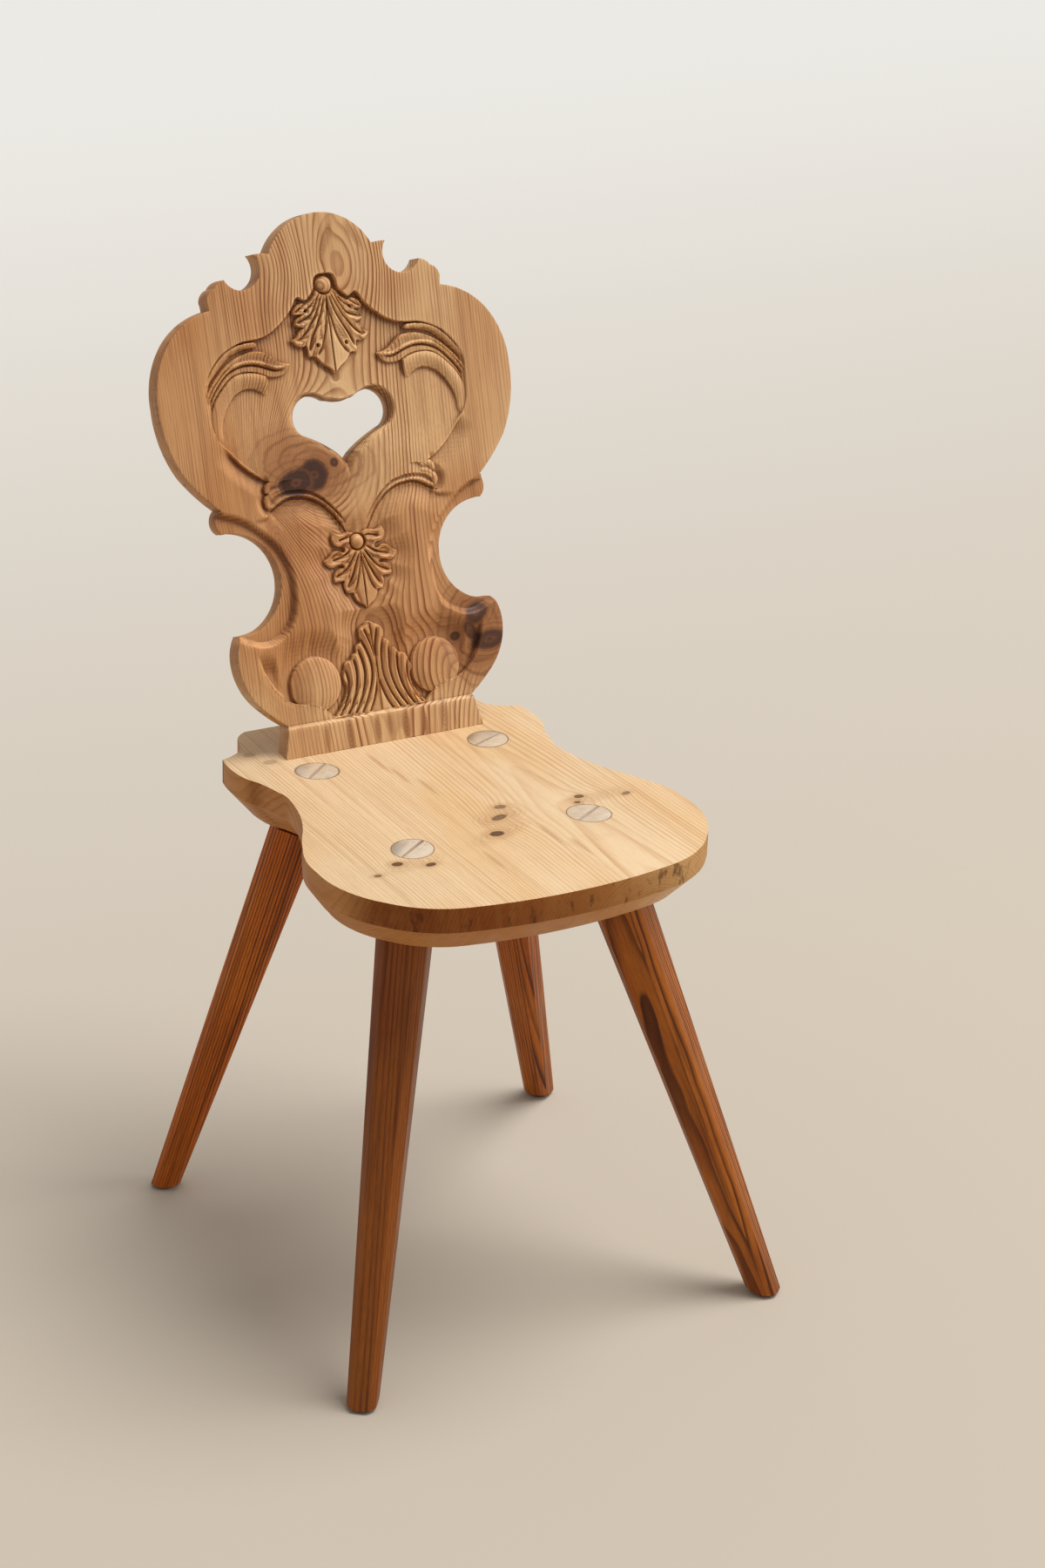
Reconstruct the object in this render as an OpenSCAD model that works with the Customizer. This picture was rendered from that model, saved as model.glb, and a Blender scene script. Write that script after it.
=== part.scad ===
// Farmhouse board chair in solid pine. A waisted seat plank carries one carved back plank,
// whose two tenons pass through the seat and are keyed underneath, and four splayed legs,
// whose round tenons pass through the seat and are wedged from above.
// +Z is up, the front faces -Y, and the floor is z = 0 under the middle of the chair.

/* [Seat] */
// Height of the seat's top face above the floor
seat_h = 450; // [375:1:540]
// Thickness of the seat plank
seat_t = 48; // [40:1:58]
// Depth of the seat, from the middle of its front edge to its rear edge
seat_d = 439; // [366:1:527]
// Width of the seat at its widest, near the front
seat_w = 373; // [350:1:448]
// Width of the seat at its waist
seat_waist_w = 282; // [260:1:320]
// Width of the seat across its rear ears
seat_ear_w = 318; // [300:1:350]
// Distance of the widest place from the front edge
seat_widest_y = 129; // [110:1:150]
// Height of the upright band round the seat's edge
seat_edge_h = 23; // [15:1:30]
// How far the bevel under the edge reaches inwards
seat_bevel = 24; // [10:1:28]

/* [Legs] */
// Diameter of the round tenons
tenon_d = 37; // [30:0.5:45]
// Distance between the left and right tenons, at the seat's top
tenon_spacing = 179; // [160:1:200]
// Distance of the front tenons from the seat's front edge
front_tenon_inset = 136.5; // [110:0.5:160]
// Distance of the rear tenons from the seat's rear edge
rear_tenon_inset = 113; // [105:0.5:140]
// Sideways splay of every leg, in degrees
leg_splay = 15; // [5:0.5:18]
// Forward rake of the front legs, in degrees
front_rake = 18.8; // [8:0.1:20]
// Backward rake of the rear legs, in degrees
rear_rake = 10.6; // [5:0.1:16]
// Thickness of a leg across its flats, at the shoulder
leg_top_w = 47; // [46:0.5:56]
// Thickness of a leg across its flats, at the floor
leg_foot_w = 26; // [22:0.5:34]
// Corner chamfer of a leg at the shoulder
leg_top_chamfer = 9; // [5:0.5:12]
// Corner chamfer of a leg at the floor
leg_foot_chamfer = 5.5; // [3:0.5:7]
// Radius of the flat that a foot stands on
foot_flat_r = 9; // [6:0.5:10]
// Thickness of a leg wedge at the seat's top
wedge_t = 3.2; // [2:0.1:5]
// How deep a leg wedge reaches below the seat's top
wedge_depth = 34; // [20:1:38]

/* [Back] */
// Backward lean of the back plank, in degrees
back_lean = 18.8; // [10:0.1:24]
// Length of the back plank above the seat, along its lean
back_h = 495.5; // [413:0.5:595]
// Width of the back plank at its widest
back_w = 362.6; // [302:0.1:435]
// Thickness of the back plank
back_t = 20.5; // [17:0.1:24.6]
// Distance of the back's front face from the seat's rear edge, at the seat's top
back_inset = 78.8; // [70:0.1:90]
// Width of the back's foot where it meets the seat
foot_w = 208.6; // [174:0.1:250]
// Height of the plain foot block, along the lean
foot_h = 30; // [20:1:40]
// Width of the heart-shaped hand hole
heart_w = 98; // [82:1:118]
// Depth of the carved ground round the upper leaf and the heart
upper_depth = 4; // [2:0.1:5]
// Depth of the carved ground round the lower leaf
lower_depth = 5.5; // [3:0.1:6]
// Depth of the hollow along the waist edges
cove_depth = 3; // [1:0.1:4]

/* [Back tenons and keys] */
// Width of each back tenon
back_tenon_w = 42; // [35:1:46]
// Distance of each back tenon's middle from the chair's middle
back_tenon_x = 47; // [40:1:50]
// How far the back tenons reach below the seat
back_tenon_drop = 46; // [40:1:55]
// Thickness of a key
key_w = 12; // [10:0.5:16]
// Length of a key, front to back
key_l = 78; // [65:1:90]
// Height of a key at its rear end
key_rear_h = 22; // [18:0.5:24]
// Height of a key at its front end
key_front_h = 14; // [10:0.5:16]

/* [Fits] */
// Clearance all round a glued tenon
joint_gap = 0.15; // [0.05:0.05:0.4]

/* [Hidden] */
$fn = 64;

curve_tol = 0.12; // largest gap between an outline's arc and its chords
eps = 0.01;
shoulder_gap = 0.2; // between a leg's shoulder and the seat's underside
bore_d = tenon_d + 2 * joint_gap;

// Legs: their places, measured in the seat's own frame, whose y = 0 is the front edge
tenon_x = tenon_spacing / 2;
front_tenon_y = front_tenon_inset;
rear_tenon_y = seat_d - rear_tenon_inset;
foot_slope = 1.4; // how fast a foot's rounded end widens with height
foot_round_h = 9;
foot_spread = 1.4; // how far a foot's rounded end goes past half its thickness, across the floor

// Back plank
back_y = seat_d - back_inset;
back_reach = back_h * sin(back_lean) + back_t * cos(back_lean);

// Middle of the chair, from the front feet to the back of the crown
front_foot_y = front_tenon_y - seat_h * tan(front_rake) - leg_foot_w / 2 - foot_spread;
back_end_y = back_y + back_reach;
middle_y = (front_foot_y + back_end_y) / 2;

colour_seat = [0.87, 0.72, 0.50];
colour_back = [0.78, 0.60, 0.38];
colour_leg = [0.52, 0.30, 0.15];
colour_wedge = [0.72, 0.62, 0.50];

// ---- Outlines made of arcs --------------------------------------------------------------

// Points from p up to, but without, q. The arc stands rise to the left of the way from p to q.
function arc(p, q, rise) =
    abs(rise) < 0.05 ? [p] :
    let (
        way = q - p,
        span = norm(way),
        left = [-way.y, way.x] / span,
        h = abs(rise),
        side = sign(rise),
        r = (span * span / 4 + h * h) / (2 * h),
        c = (p + q) / 2 - left * side * (r - h),
        start = atan2(p.y - c.y, p.x - c.x),
        sweep = 4 * atan(2 * h / span),
        n = max(2, ceil(sweep / (2 * acos(1 - curve_tol / r))))
    )
    [for (i = [0 : n - 1]) c + r * [cos(start - side * sweep * i / n), sin(start - side * sweep * i / n)]];

// A path is a list of [x, y, rise], where rise shapes the arc to the next point.
function flat(p) = [p.x, p.y];
function trace(path) = concat(
    [for (i = [0 : len(path) - 2]) each arc(flat(path[i]), flat(path[i + 1]), path[i][2])],
    [flat(path[len(path) - 1])]
);

// A half outline that starts and ends on the middle line, made whole.
function mirrored(half) = concat(half, [for (i = [len(half) - 2 : -1 : 1]) [-half[i].x, half[i].y]]);

// ---- Seat -------------------------------------------------------------------------------

seat_waist_y = (seat_widest_y + seat_d) / 2 - 8; // narrowest place of the waist
ks = seat_d / 439; // stretch of the drawn rear end, front to back
seat_half = trace([
    [0, seat_d, 0],
    [seat_ear_w / 2 - 49, seat_d, 4],
    [seat_ear_w / 2 - 32, seat_d - 24 * ks, 0],
    [seat_ear_w / 2 - 30, seat_d - 30 * ks, -2.5],
    [seat_ear_w / 2 - 16, seat_d - 46 * ks, -0.8],
    [seat_ear_w / 2 - 2, seat_d - 52 * ks, 1.5],
    [seat_ear_w / 2, seat_d - 86 * ks, 2],
    [seat_ear_w / 2 - 9, seat_d - 114 * ks, -0.5],
    [seat_waist_w / 2 + 1.5, seat_d - 143 * ks, -1.5],
    [seat_waist_w / 2, seat_waist_y, -3.2],
    [seat_waist_w / 2 + 19, seat_widest_y + 82 * ks, 0.8],
    [seat_w / 2 - 10, seat_widest_y + 48 * ks, 3.2],
    [seat_w / 2, seat_widest_y, 8.5],
    [seat_w / 2 - 26.5, seat_widest_y - 80, 6.6],
    [seat_w / 2 - 86.5, 10.7, 2.8],
    [0, 0, 0]
]);
seat_outline = mirrored(seat_half);
seat_centre = [0, seat_waist_y];

// Every point of an outline, moved d towards c.
function drawn_in(points, c, d) = [for (p = points) p + (c - p) * d / norm(c - p)];

// A closed body between two outlines that have as many points, each star-shaped about c.
module lofted(low, low_z, high, high_z, c) {
    n = len(low);
    polyhedron(
        points = concat(
            [for (p = low) [p.x, p.y, low_z]],
            [for (p = high) [p.x, p.y, high_z]],
            [[c.x, c.y, low_z], [c.x, c.y, high_z]]
        ),
        faces = [
            for (i = [0 : n - 1])
                let (j = (i + 1) % n)
                each [[i, j, n + j], [i, n + j, n + i], [2 * n, j, i], [2 * n + 1, n + i, n + j]]
        ]
    );
}

// The upright band, and below it the bevel that runs in all round to the underside.
module seat_blank() {
    below = 4;
    slope = seat_bevel / (seat_t - seat_edge_h);
    translate([0, 0, -seat_edge_h]) linear_extrude(seat_edge_h) polygon(seat_outline);
    intersection() {
        lofted(
            drawn_in(seat_outline, seat_centre, seat_bevel + below * slope), -seat_t - below,
            seat_outline, -seat_edge_h, seat_centre
        );
        translate([-seat_w, -seat_d, -seat_t]) cube([2 * seat_w, 3 * seat_d, seat_t]);
    }
}

module seat() {
    color(colour_seat) in_place(seat_h) difference() {
        seat_blank();
        for (side = [-1, 1], front = [false, true])
            leg_frame(side, front) cylinder(d = bore_d, h = 4 * seat_t, center = true);
        for (side = [-1, 1]) back_tenon(side, joint_gap);
    }
}

// Moves from the seat's own frame, with the seat's top at z = 0, into the chair's frame.
module in_place(z) {
    translate([0, -middle_y, z]) children();
}

// ---- Legs -------------------------------------------------------------------------------

function rake(front) = front ? front_rake : -rear_rake;
function lean(side, front) = [side * tan(leg_splay), -tan(rake(front))]; // run per unit of drop
function tilt(front) = atan(norm(lean(1, front)));
function tenon_y(front) = front ? front_tenon_y : rear_tenon_y;
function leg_length(front) = seat_h / cos(tilt(front));

// A frame at the tenon's top, with +Z up along the leg and +X the way the leg leans.
module leg_frame(side, front) {
    way = lean(side, front);
    translate([side * tenon_x, tenon_y(front), 0])
        rotate([0, 0, atan2(way.y, way.x)])
        rotate([0, -tilt(front), 0])
        children();
}

// A plank that tapers evenly from the shoulder to the floor, going on a little past both.
module tapered_plank(top_half, foot_half, length, shoulder) {
    spare = 20;
    grow = (top_half - foot_half) / (length - shoulder);
    low = foot_half - grow * spare;
    rotate([90, 0, 0]) linear_extrude(4 * leg_top_w, center = true) polygon([
        [-low, -length - spare], [low, -length - spare], [top_half, -shoulder], [-top_half, -shoulder]
    ]);
}

// The planed shank, an octagon with four broad flats and four narrow ones.
module shank(front) {
    length = leg_length(front);
    shoulder = shoulder_at(front);
    top_half = leg_top_w / 2;
    foot_half = leg_foot_w / 2;
    top_corner = (leg_top_w - leg_top_chamfer) / sqrt(2);
    foot_corner = (leg_foot_w - leg_foot_chamfer) / sqrt(2);
    intersection() {
        tapered_plank(top_half, foot_half, length, shoulder);
        rotate([0, 0, 90]) tapered_plank(top_half, foot_half, length, shoulder);
        rotate([0, 0, 45]) tapered_plank(top_corner, foot_corner, length, shoulder);
        rotate([0, 0, -45]) tapered_plank(top_corner, foot_corner, length, shoulder);
    }
}

// Distance down the leg from the seat's top to the square shoulder, whose highest edge
// meets the seat's underside.
function shoulder_at(front) =
    (seat_t + shoulder_gap + leg_top_w / 2 * sin(tilt(front))) / cos(tilt(front));

// The stuff that rounds off a foot, as a ring that stands on the floor.
module foot_rounding(side, front) {
    way = lean(side, front) * seat_h;
    translate([side * tenon_x + way.x, tenon_y(front) + way.y, -seat_h])
        difference() {
            translate([0, 0, -eps]) cylinder(r = 2 * leg_foot_w, h = foot_round_h);
            translate([0, 0, -2 * eps])
                cylinder(r1 = foot_flat_r, r2 = foot_flat_r + 2 * foot_round_h * foot_slope, h = 2 * foot_round_h);
        }
}

module leg(side, front) {
    inside = 6; // how far the tenon's solid reaches into the shank's
    far = 200;
    color(colour_leg) in_place(seat_h) difference() {
        union() {
            leg_frame(side, front) shank(front);
            leg_frame(side, front) translate([0, 0, -shoulder_at(front) - inside])
                cylinder(d = tenon_d, h = shoulder_at(front) + inside + tenon_d);
        }
        translate([-seat_w, -seat_d, 0]) cube([2 * seat_w, 3 * seat_d, far]);
        translate([-seat_w, -seat_d, -seat_h - far]) cube([2 * seat_w, 3 * seat_d, far]);
        foot_rounding(side, front);
        wedge_body(side, front);
    }
}

// The turn of each wedge in plan, from the X axis, in degrees
wedge_turn = [[42, 24], [34, 32]]; // [rear left, rear right], [front left, front right]

// A thin wedge across the tenon, flush with the seat's top and the tenon's sides.
module wedge_body(side, front) {
    way = lean(side, front);
    thin = wedge_t / 4;
    over = 14;
    grow = (wedge_t - thin) / 2 / wedge_depth;
    wide = wedge_t / 2 + grow * over;
    intersection() {
        leg_frame(side, front) intersection() {
            rotate([0, 0, wedge_turn[front ? 1 : 0][side > 0 ? 1 : 0] - atan2(way.y, way.x)])
                rotate([90, 0, 90]) linear_extrude(2 * tenon_d, center = true) polygon([
                    [-thin / 2, -wedge_depth], [thin / 2, -wedge_depth], [wide, over], [-wide, over]
                ]);
            cylinder(d = tenon_d, h = 4 * seat_t, center = true);
        }
        translate([-seat_w, -seat_d, -seat_t]) cube([2 * seat_w, 3 * seat_d, seat_t]);
    }
}

module wedge(side, front) {
    color(colour_wedge) in_place(seat_h) wedge_body(side, front);
}

// ---- Back -------------------------------------------------------------------------------

// The plank is drawn flat, as seen from its front: x across, y up the plank from the
// seat's top, and z out of its front face. This stands it up at its lean on the seat.
module standing() {
    translate([0, back_y, 0]) rotate([-back_lean, 0, 0]) rotate([90, 0, 0]) children();
}

kx = back_w / 362.6; // stretch of the drawn outline across
ky = back_h / 495.5; // and up the plank
function drawn(path) = [for (p = path) [p[0] * kx, p[1] * ky, p[2] * (kx + ky) / 2]];

board_half = trace(concat(
    drawn([
        // crown, with its two horns
        [0, 495.5, 9.1], [53, 462, 0.8], [67.5, 463.2, -1.2], [63.3, 450, -14.6],
        [100, 443.3, 1.4], [111, 436.5, 2.4], [120, 425, -0.3],
        // great round shoulder
        [119, 417, 4.6], [163, 392, 5.4], [181.3, 335, 4.7], [165, 270, 1.4],
        // bracket and waist
        [135, 236.5, 5.2], [134.5, 214.3, -0.3], [127, 214.1, -36.6], [112, 122, -0.8],
        // lower lobe
        [131.5, 119.5, 1.9], [138.4, 95, 5.2], [118, 48.5, 0.6]
    ]),
    [
        [foot_w / 2 - 7.3, foot_h + 0.5, 0], [foot_w / 2 - 6.6, foot_h - 2, -0.4],
        [foot_w / 2, 0, 0], [0, 0, 0]
    ]
));

kh = heart_w / 106; // size of the heart against the one drawn
heart_y = 292; // height of the heart's middle up the drawn plank
function heart_drawn(path) = [for (p = path) [p[0] * kh, heart_y * ky + (p[1] - heart_y) * kh, p[2] * kh]];
heart_half = trace(heart_drawn([
    [0, 323, -0.4], [11, 325.2, -0.7], [19, 328, 1.4], [36, 332, 5.2], [53, 309, 1.9],
    [45, 294, -1.2], [13, 276, -1], [0, 262, 0]
]));

// Ground round the upper leaf, the feathers and the heart
upper_ground_half = trace(drawn([
    [0, 442, 3.4], [11, 431, -1], [20, 419, 0], [26, 420, 3], [37, 407, -2.6], [73, 386.5, 0],
    [88, 386, 3.6], [120, 368, 2.2], [134, 343, 1], [131, 308, 2], [115, 281, 3.4], [84, 257, 0],
    [70, 245, 4.5], [22, 224, 1.4], [4, 201, 0], [0, 200, 0]
]));

// Deeper ground round the lower leaf, down to the fan and the volutes
lower_ground_half = trace(drawn([
    [0, 203, 0], [5, 202, 1.4], [22, 221, 4.5], [66, 240, 1.5], [86, 230, 0], [92, 240, -3],
    [87, 257, -3.4], [116, 285, -3], [104, 221, -5], [70, 168, -7], [100, 113, -0.5],
    [117, 100, 1.5], [111, 72, 4], [80, 48.5, 0], [40, 40, 0], [0, 40, 0]
]));

leaf_top = -0.6; // height of the upper leaf and feathers against the plank's face
upper_leaf_half = trace(drawn([
    [0, 424, 0], [8, 420, 0], [30, 413, 2.4], [36, 405, 1], [28, 403, 0], [35, 398, 1.4],
    [30, 391, 0], [40, 381, 2.6], [27, 375, 0], [24.5, 365.5, 0.6], [17, 366, 0],
    [15, 360, -1], [0, 345.5, 0]
]));
lower_leaf_half = trace(drawn([
    [0, 198, 0], [5, 197, 1.2], [25, 201, 1.6], [27, 191, 0], [19, 186, 0.8], [38, 175, 1.6],
    [31, 169, 0], [21, 169, 0.8], [30, 160, 0.8], [29, 154, 0], [20, 154, 0.8], [18, 143, 1],
    [12, 141, -0.8], [0, 127.5, 0]
]));
feathers = [
    [[46, 361, 4.6], [92, 375, 5.6], [133, 340, 0], [130, 338, -8.6], [86, 358, -2.8], [60, 350, 1.4],
        [46, 361, 0]],
    [[77, 385.5, 1.4], [103, 382, 4.2], [134, 346, 0], [131, 345, -4.2], [100, 376, -1.2], [77, 379.5, 1.2],
        [77, 385.5, 0]],
    [[72, 351, 1.2], [88, 356.5, 10.4], [130, 308, 0], [121, 309, -9], [92, 342, -3.4], [73, 336, -1],
        [72, 351, 0]]
];
buds = [[81, 254, 7, 20], [85, 242, 7.5, -35]]; // x, y, half length and turn of each bud

ball_r = 7.5;
lower_ball_r = 6.5;
volute_r = 25.5;
volute = [64, 65];
volute_rise = 3.6;
cove_r = 61.5;
waist = [131, 166]; // middle of the waist's round edge

// Fan between the volutes: the top and the bottom of each flute, on the right-hand side
fan_half = trace(drawn([
    [0, 115, 1.5], [13, 107, 0.6], [12, 97, 0.8], [19, 90, 0], [20, 86, 0.8], [28, 81, 0],
    [35, 76, 0], [36, 60, -2], [45, 29, 0], [0, 29, 0]
]));
flute_tops = [[10, 101], [17, 91], [25, 82], [33, 75]];
flute_feet = [17, 26, 35, 44];
flute_w = 3.4;

// A raised plate of the carving, from below the ground up to top.
module plate(points, top) {
    bottom = -lower_depth - 2;
    translate([0, 0, bottom]) linear_extrude(top - bottom) polygon(points);
}

module sunk(points, depth) {
    translate([0, 0, -depth]) linear_extrude(depth + 5) polygon(points);
}

module flute(i) {
    top = [flute_tops[i][0] * kx, flute_tops[i][1] * ky];
    foot = [flute_feet[i] * kx, foot_h];
    run = trace([[top.x, top.y, -3.6], [foot.x, foot.y, 0], [foot.x - flute_w, foot.y, 3.6],
        [top.x - flute_w, top.y, flute_w / 3], [top.x, top.y, 0]]);
    plate(run, leaf_top - 0.2 * i);
}

module volute_dome() {
    r = (volute_r * volute_r + volute_rise * volute_rise) / (2 * volute_rise);
    translate([volute.x * kx, volute.y * ky, -lower_depth - 1]) intersection() {
        cylinder(r = volute_r, h = 2 * lower_depth);
        translate([0, 0, lower_depth + 0.6 - r]) sphere(r = r);
    }
}

module bud(b) {
    thick = 0.62; // a bud's width against its length
    translate([b[0] * kx, b[1] * ky, 0]) rotate([0, 0, b[3]]) {
        lens = trace([[-b[2], 0, b[2] * thick], [b[2], 0, b[2] * thick], [-b[2], 0, 0]]);
        plate(lens, leaf_top);
    }
}

module carving_half() {
    for (f = feathers) plate(trace(drawn(f)), leaf_top);
    for (b = buds) bud(b);
    volute_dome();
    for (i = [0 : len(flute_tops) - 1]) flute(i);
}

module carved_plank() {
    difference() {
        union() {
            difference() {
                translate([0, 0, -back_t]) linear_extrude(back_t) polygon(mirrored(board_half));
                sunk(mirrored(upper_ground_half), upper_depth);
                sunk(mirrored(lower_ground_half), lower_depth);
                for (side = [-1, 1])
                    translate([side * waist.x * kx, waist.y * ky, -cove_depth]) cylinder(r = cove_r, h = 10);
            }
            plate(mirrored(upper_leaf_half), leaf_top);
            plate(mirrored(lower_leaf_half), leaf_top - 0.4);
            plate(mirrored(fan_half), -lower_depth + 2.6);
            translate([0, 429 * ky, -ball_r]) sphere(r = ball_r);
            translate([0, 190 * ky, -lower_ball_r]) sphere(r = lower_ball_r);
            carving_half();
            mirror([1, 0, 0]) carving_half();
        }
        translate([0, 0, -2 * back_t]) linear_extrude(3 * back_t) polygon(mirrored(heart_half));
    }
}

// One tenon of the back, at its lean, as the plank that passes through the seat.
module back_tenon(side, gap) {
    up = foot_h / 2; // how far its solid reaches up into the foot block
    down = (seat_t + back_tenon_drop) / cos(back_lean) + back_t;
    standing() translate([side * back_tenon_x - back_tenon_w / 2 - gap, -down, -back_t - gap])
        cube([back_tenon_w + 2 * gap, down + up, back_t + 2 * gap]);
}

module back_board() {
    color(colour_back) in_place(seat_h) difference() {
        union() {
            difference() {
                standing() carved_plank();
                translate([-seat_w, 0, -seat_h]) cube([2 * seat_w, 2 * seat_d, seat_h]);
            }
            intersection() {
                for (side = [-1, 1]) back_tenon(side, 0);
                translate([-seat_w, 0, -seat_t - back_tenon_drop])
                    cube([2 * seat_w, 2 * seat_d, seat_t + back_tenon_drop + foot_h / 4]);
            }
        }
        for (side = [-1, 1]) key_slot(side);
    }
}

// ---- Keys under the seat ----------------------------------------------------------------

// Middle of the back tenons, just under the seat
key_y = back_y - (seat_t + key_rear_h / 2) * tan(back_lean) + back_t / 2 / cos(back_lean);

// The tapered key's side view, raised by lift at its top edge.
module key_profile(lift) {
    rotate([90, 0, 90]) linear_extrude(key_w, center = true) polygon([
        [-key_l / 2, -key_front_h], [key_l / 2, -key_rear_h], [key_l / 2, lift], [-key_l / 2, lift]
    ]);
}

module key_body(side, lift) {
    translate([side * back_tenon_x, key_y, -seat_t]) key_profile(lift);
}

// The slot in the tenon reaches a little above the seat's underside, so that the key bears
// on the seat and draws the back down.
module key_slot(side) {
    draw = 3;
    key_body(side, draw);
}

module key(side) {
    color(colour_back) in_place(seat_h) key_body(side, 0);
}

// ---- Nodes ------------------------------------------------------------------------------

seat();
back_board();
leg(-1, true);  // leg_front_left
leg(1, true);  // leg_front_right
leg(-1, false);  // leg_rear_left
leg(1, false);  // leg_rear_right
wedge(-1, true);  // wedge_front_left
wedge(1, true);  // wedge_front_right
wedge(-1, false);  // wedge_rear_left
wedge(1, false);  // wedge_rear_right
key(-1);  // key_left
key(1);  // key_right
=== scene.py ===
import math
from collections import namedtuple

import bpy
import numpy as np
from bpy.props import FloatProperty, FloatVectorProperty, PointerProperty
from mathutils import Euler, Matrix, Vector
from mathutils.geometry import delaunay_2d_cdt


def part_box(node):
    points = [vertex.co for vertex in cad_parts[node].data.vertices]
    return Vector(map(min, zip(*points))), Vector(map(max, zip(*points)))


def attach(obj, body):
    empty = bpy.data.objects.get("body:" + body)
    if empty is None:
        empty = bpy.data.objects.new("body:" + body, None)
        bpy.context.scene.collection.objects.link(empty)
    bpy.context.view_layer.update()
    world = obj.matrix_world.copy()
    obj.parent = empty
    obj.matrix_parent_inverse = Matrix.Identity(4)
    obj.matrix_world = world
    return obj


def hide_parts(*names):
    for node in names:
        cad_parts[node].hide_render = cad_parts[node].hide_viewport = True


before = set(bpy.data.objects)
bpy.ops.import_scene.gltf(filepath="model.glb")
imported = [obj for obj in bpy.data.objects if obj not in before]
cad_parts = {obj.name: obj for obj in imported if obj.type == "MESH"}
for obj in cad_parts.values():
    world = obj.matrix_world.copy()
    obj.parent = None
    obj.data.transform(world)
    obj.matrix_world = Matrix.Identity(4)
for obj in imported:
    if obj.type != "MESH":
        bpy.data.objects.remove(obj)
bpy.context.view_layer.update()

bl_info = {
    "name": "Carved Board Chair",
    "version": (1, 0, 0),
    "blender": (4, 5, 0),
    "location": "View3D > Sidebar > Chair",
    "description": "Builds a carved pine board chair over its fixed frame",
    "category": "Object",
}

SEAT_LOW, SEAT_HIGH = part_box("seat")
SEAT_TOP = SEAT_HIGH.z
SEAT_FRONT = SEAT_LOW.y
LEAN = math.radians(18.8)  # of the back
BACK_T = 20.5  # plank thickness, mm
DEEPEST = 13.0  # of the back's carving, mm
BACK_FOOT = Vector((0, SEAT_FRONT + 0.3602, SEAT_TOP))  # front face of the back, at the seat
BACK_TURN = (math.pi / 2 - LEAN, 0.0, 0.0)
BACK_GRAIN = (0.0, math.sin(LEAN), math.cos(LEAN))
SEAT_BAND = 0.023  # height of the seat's upright band, above the bevel
TENON_X = 0.0895  # leg tenons, from the seat's middle
TENON_Y = {"front": 0.1365, "rear": 0.326}  # and from its front edge


# ---- Settings ------------------------------------------------------------------------------


class ChairSizes(bpy.types.PropertyGroup):
    mesh_step: FloatProperty(
        name="Carving mesh step", description="Distance between points in the carved detail, in mm",
        default=0.8, min=0.5, max=3)
    plank_ease: FloatProperty(
        name="Plank arris", description="Radius of the back's eased edges", default=0.0007, min=0, max=0.004,
        subtype="DISTANCE", unit="LENGTH")
    seat_ease: FloatProperty(
        name="Seat arris", description="Radius of the seat's eased edges", default=0.0016, min=0, max=0.006,
        subtype="DISTANCE", unit="LENGTH")
    leg_ease: FloatProperty(
        name="Leg arris", description="Radius of a leg's eased edges", default=0.0011, min=0, max=0.003,
        subtype="DISTANCE", unit="LENGTH")


def tint(name, description, value):
    return FloatVectorProperty(name=name, description=description, default=value, size=3, subtype="COLOR",
                               min=0, max=1)


class ChairColours(bpy.types.PropertyGroup):
    seat_early: tint("Seat, pale wood", "Pale early wood of the seat", (0.75, 0.555, 0.335))
    seat_late: tint("Seat, growth lines", "Late wood lines of the seat", (0.50, 0.25, 0.10))
    back_early: tint("Back, pale wood", "Pale early wood of the back", (0.73, 0.46, 0.22))
    back_late: tint("Back, growth lines", "Late wood lines of the back", (0.30, 0.10, 0.025))
    leg_early: tint("Legs, pale wood", "Stained early wood of the legs", (0.36, 0.10, 0.012))
    leg_late: tint("Legs, growth lines", "Stained late wood lines of the legs", (0.075, 0.016, 0.003))
    floor: tint("Floor", "The plain floor", (0.505, 0.44, 0.36))


def sizes():
    return bpy.context.scene.chair_sizes


def colours():
    return bpy.context.scene.chair_colours


# ---- Small modelling helpers ---------------------------------------------------------------


def deselect():
    if bpy.context.object and bpy.context.object.mode != "OBJECT":
        bpy.ops.object.mode_set(mode="OBJECT")
    bpy.ops.object.select_all(action="DESELECT")


def activate(obj):
    deselect()
    obj.select_set(True)
    bpy.context.view_layer.objects.active = obj
    return obj


def copy_of(node, name):
    """A clean copy of a frame node's mesh, with its doubles merged and its flat faces whole."""
    obj = bpy.data.objects.new(name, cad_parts[node].data.copy())
    obj.data.materials.clear()
    bpy.context.scene.collection.objects.link(obj)
    activate(obj)
    bpy.ops.object.mode_set(mode="EDIT")
    bpy.ops.mesh.select_all(action="SELECT")
    bpy.ops.mesh.remove_doubles(threshold=2e-6)
    bpy.ops.mesh.dissolve_limited(angle_limit=math.radians(0.6))
    bpy.ops.object.mode_set(mode="OBJECT")
    return obj


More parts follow.
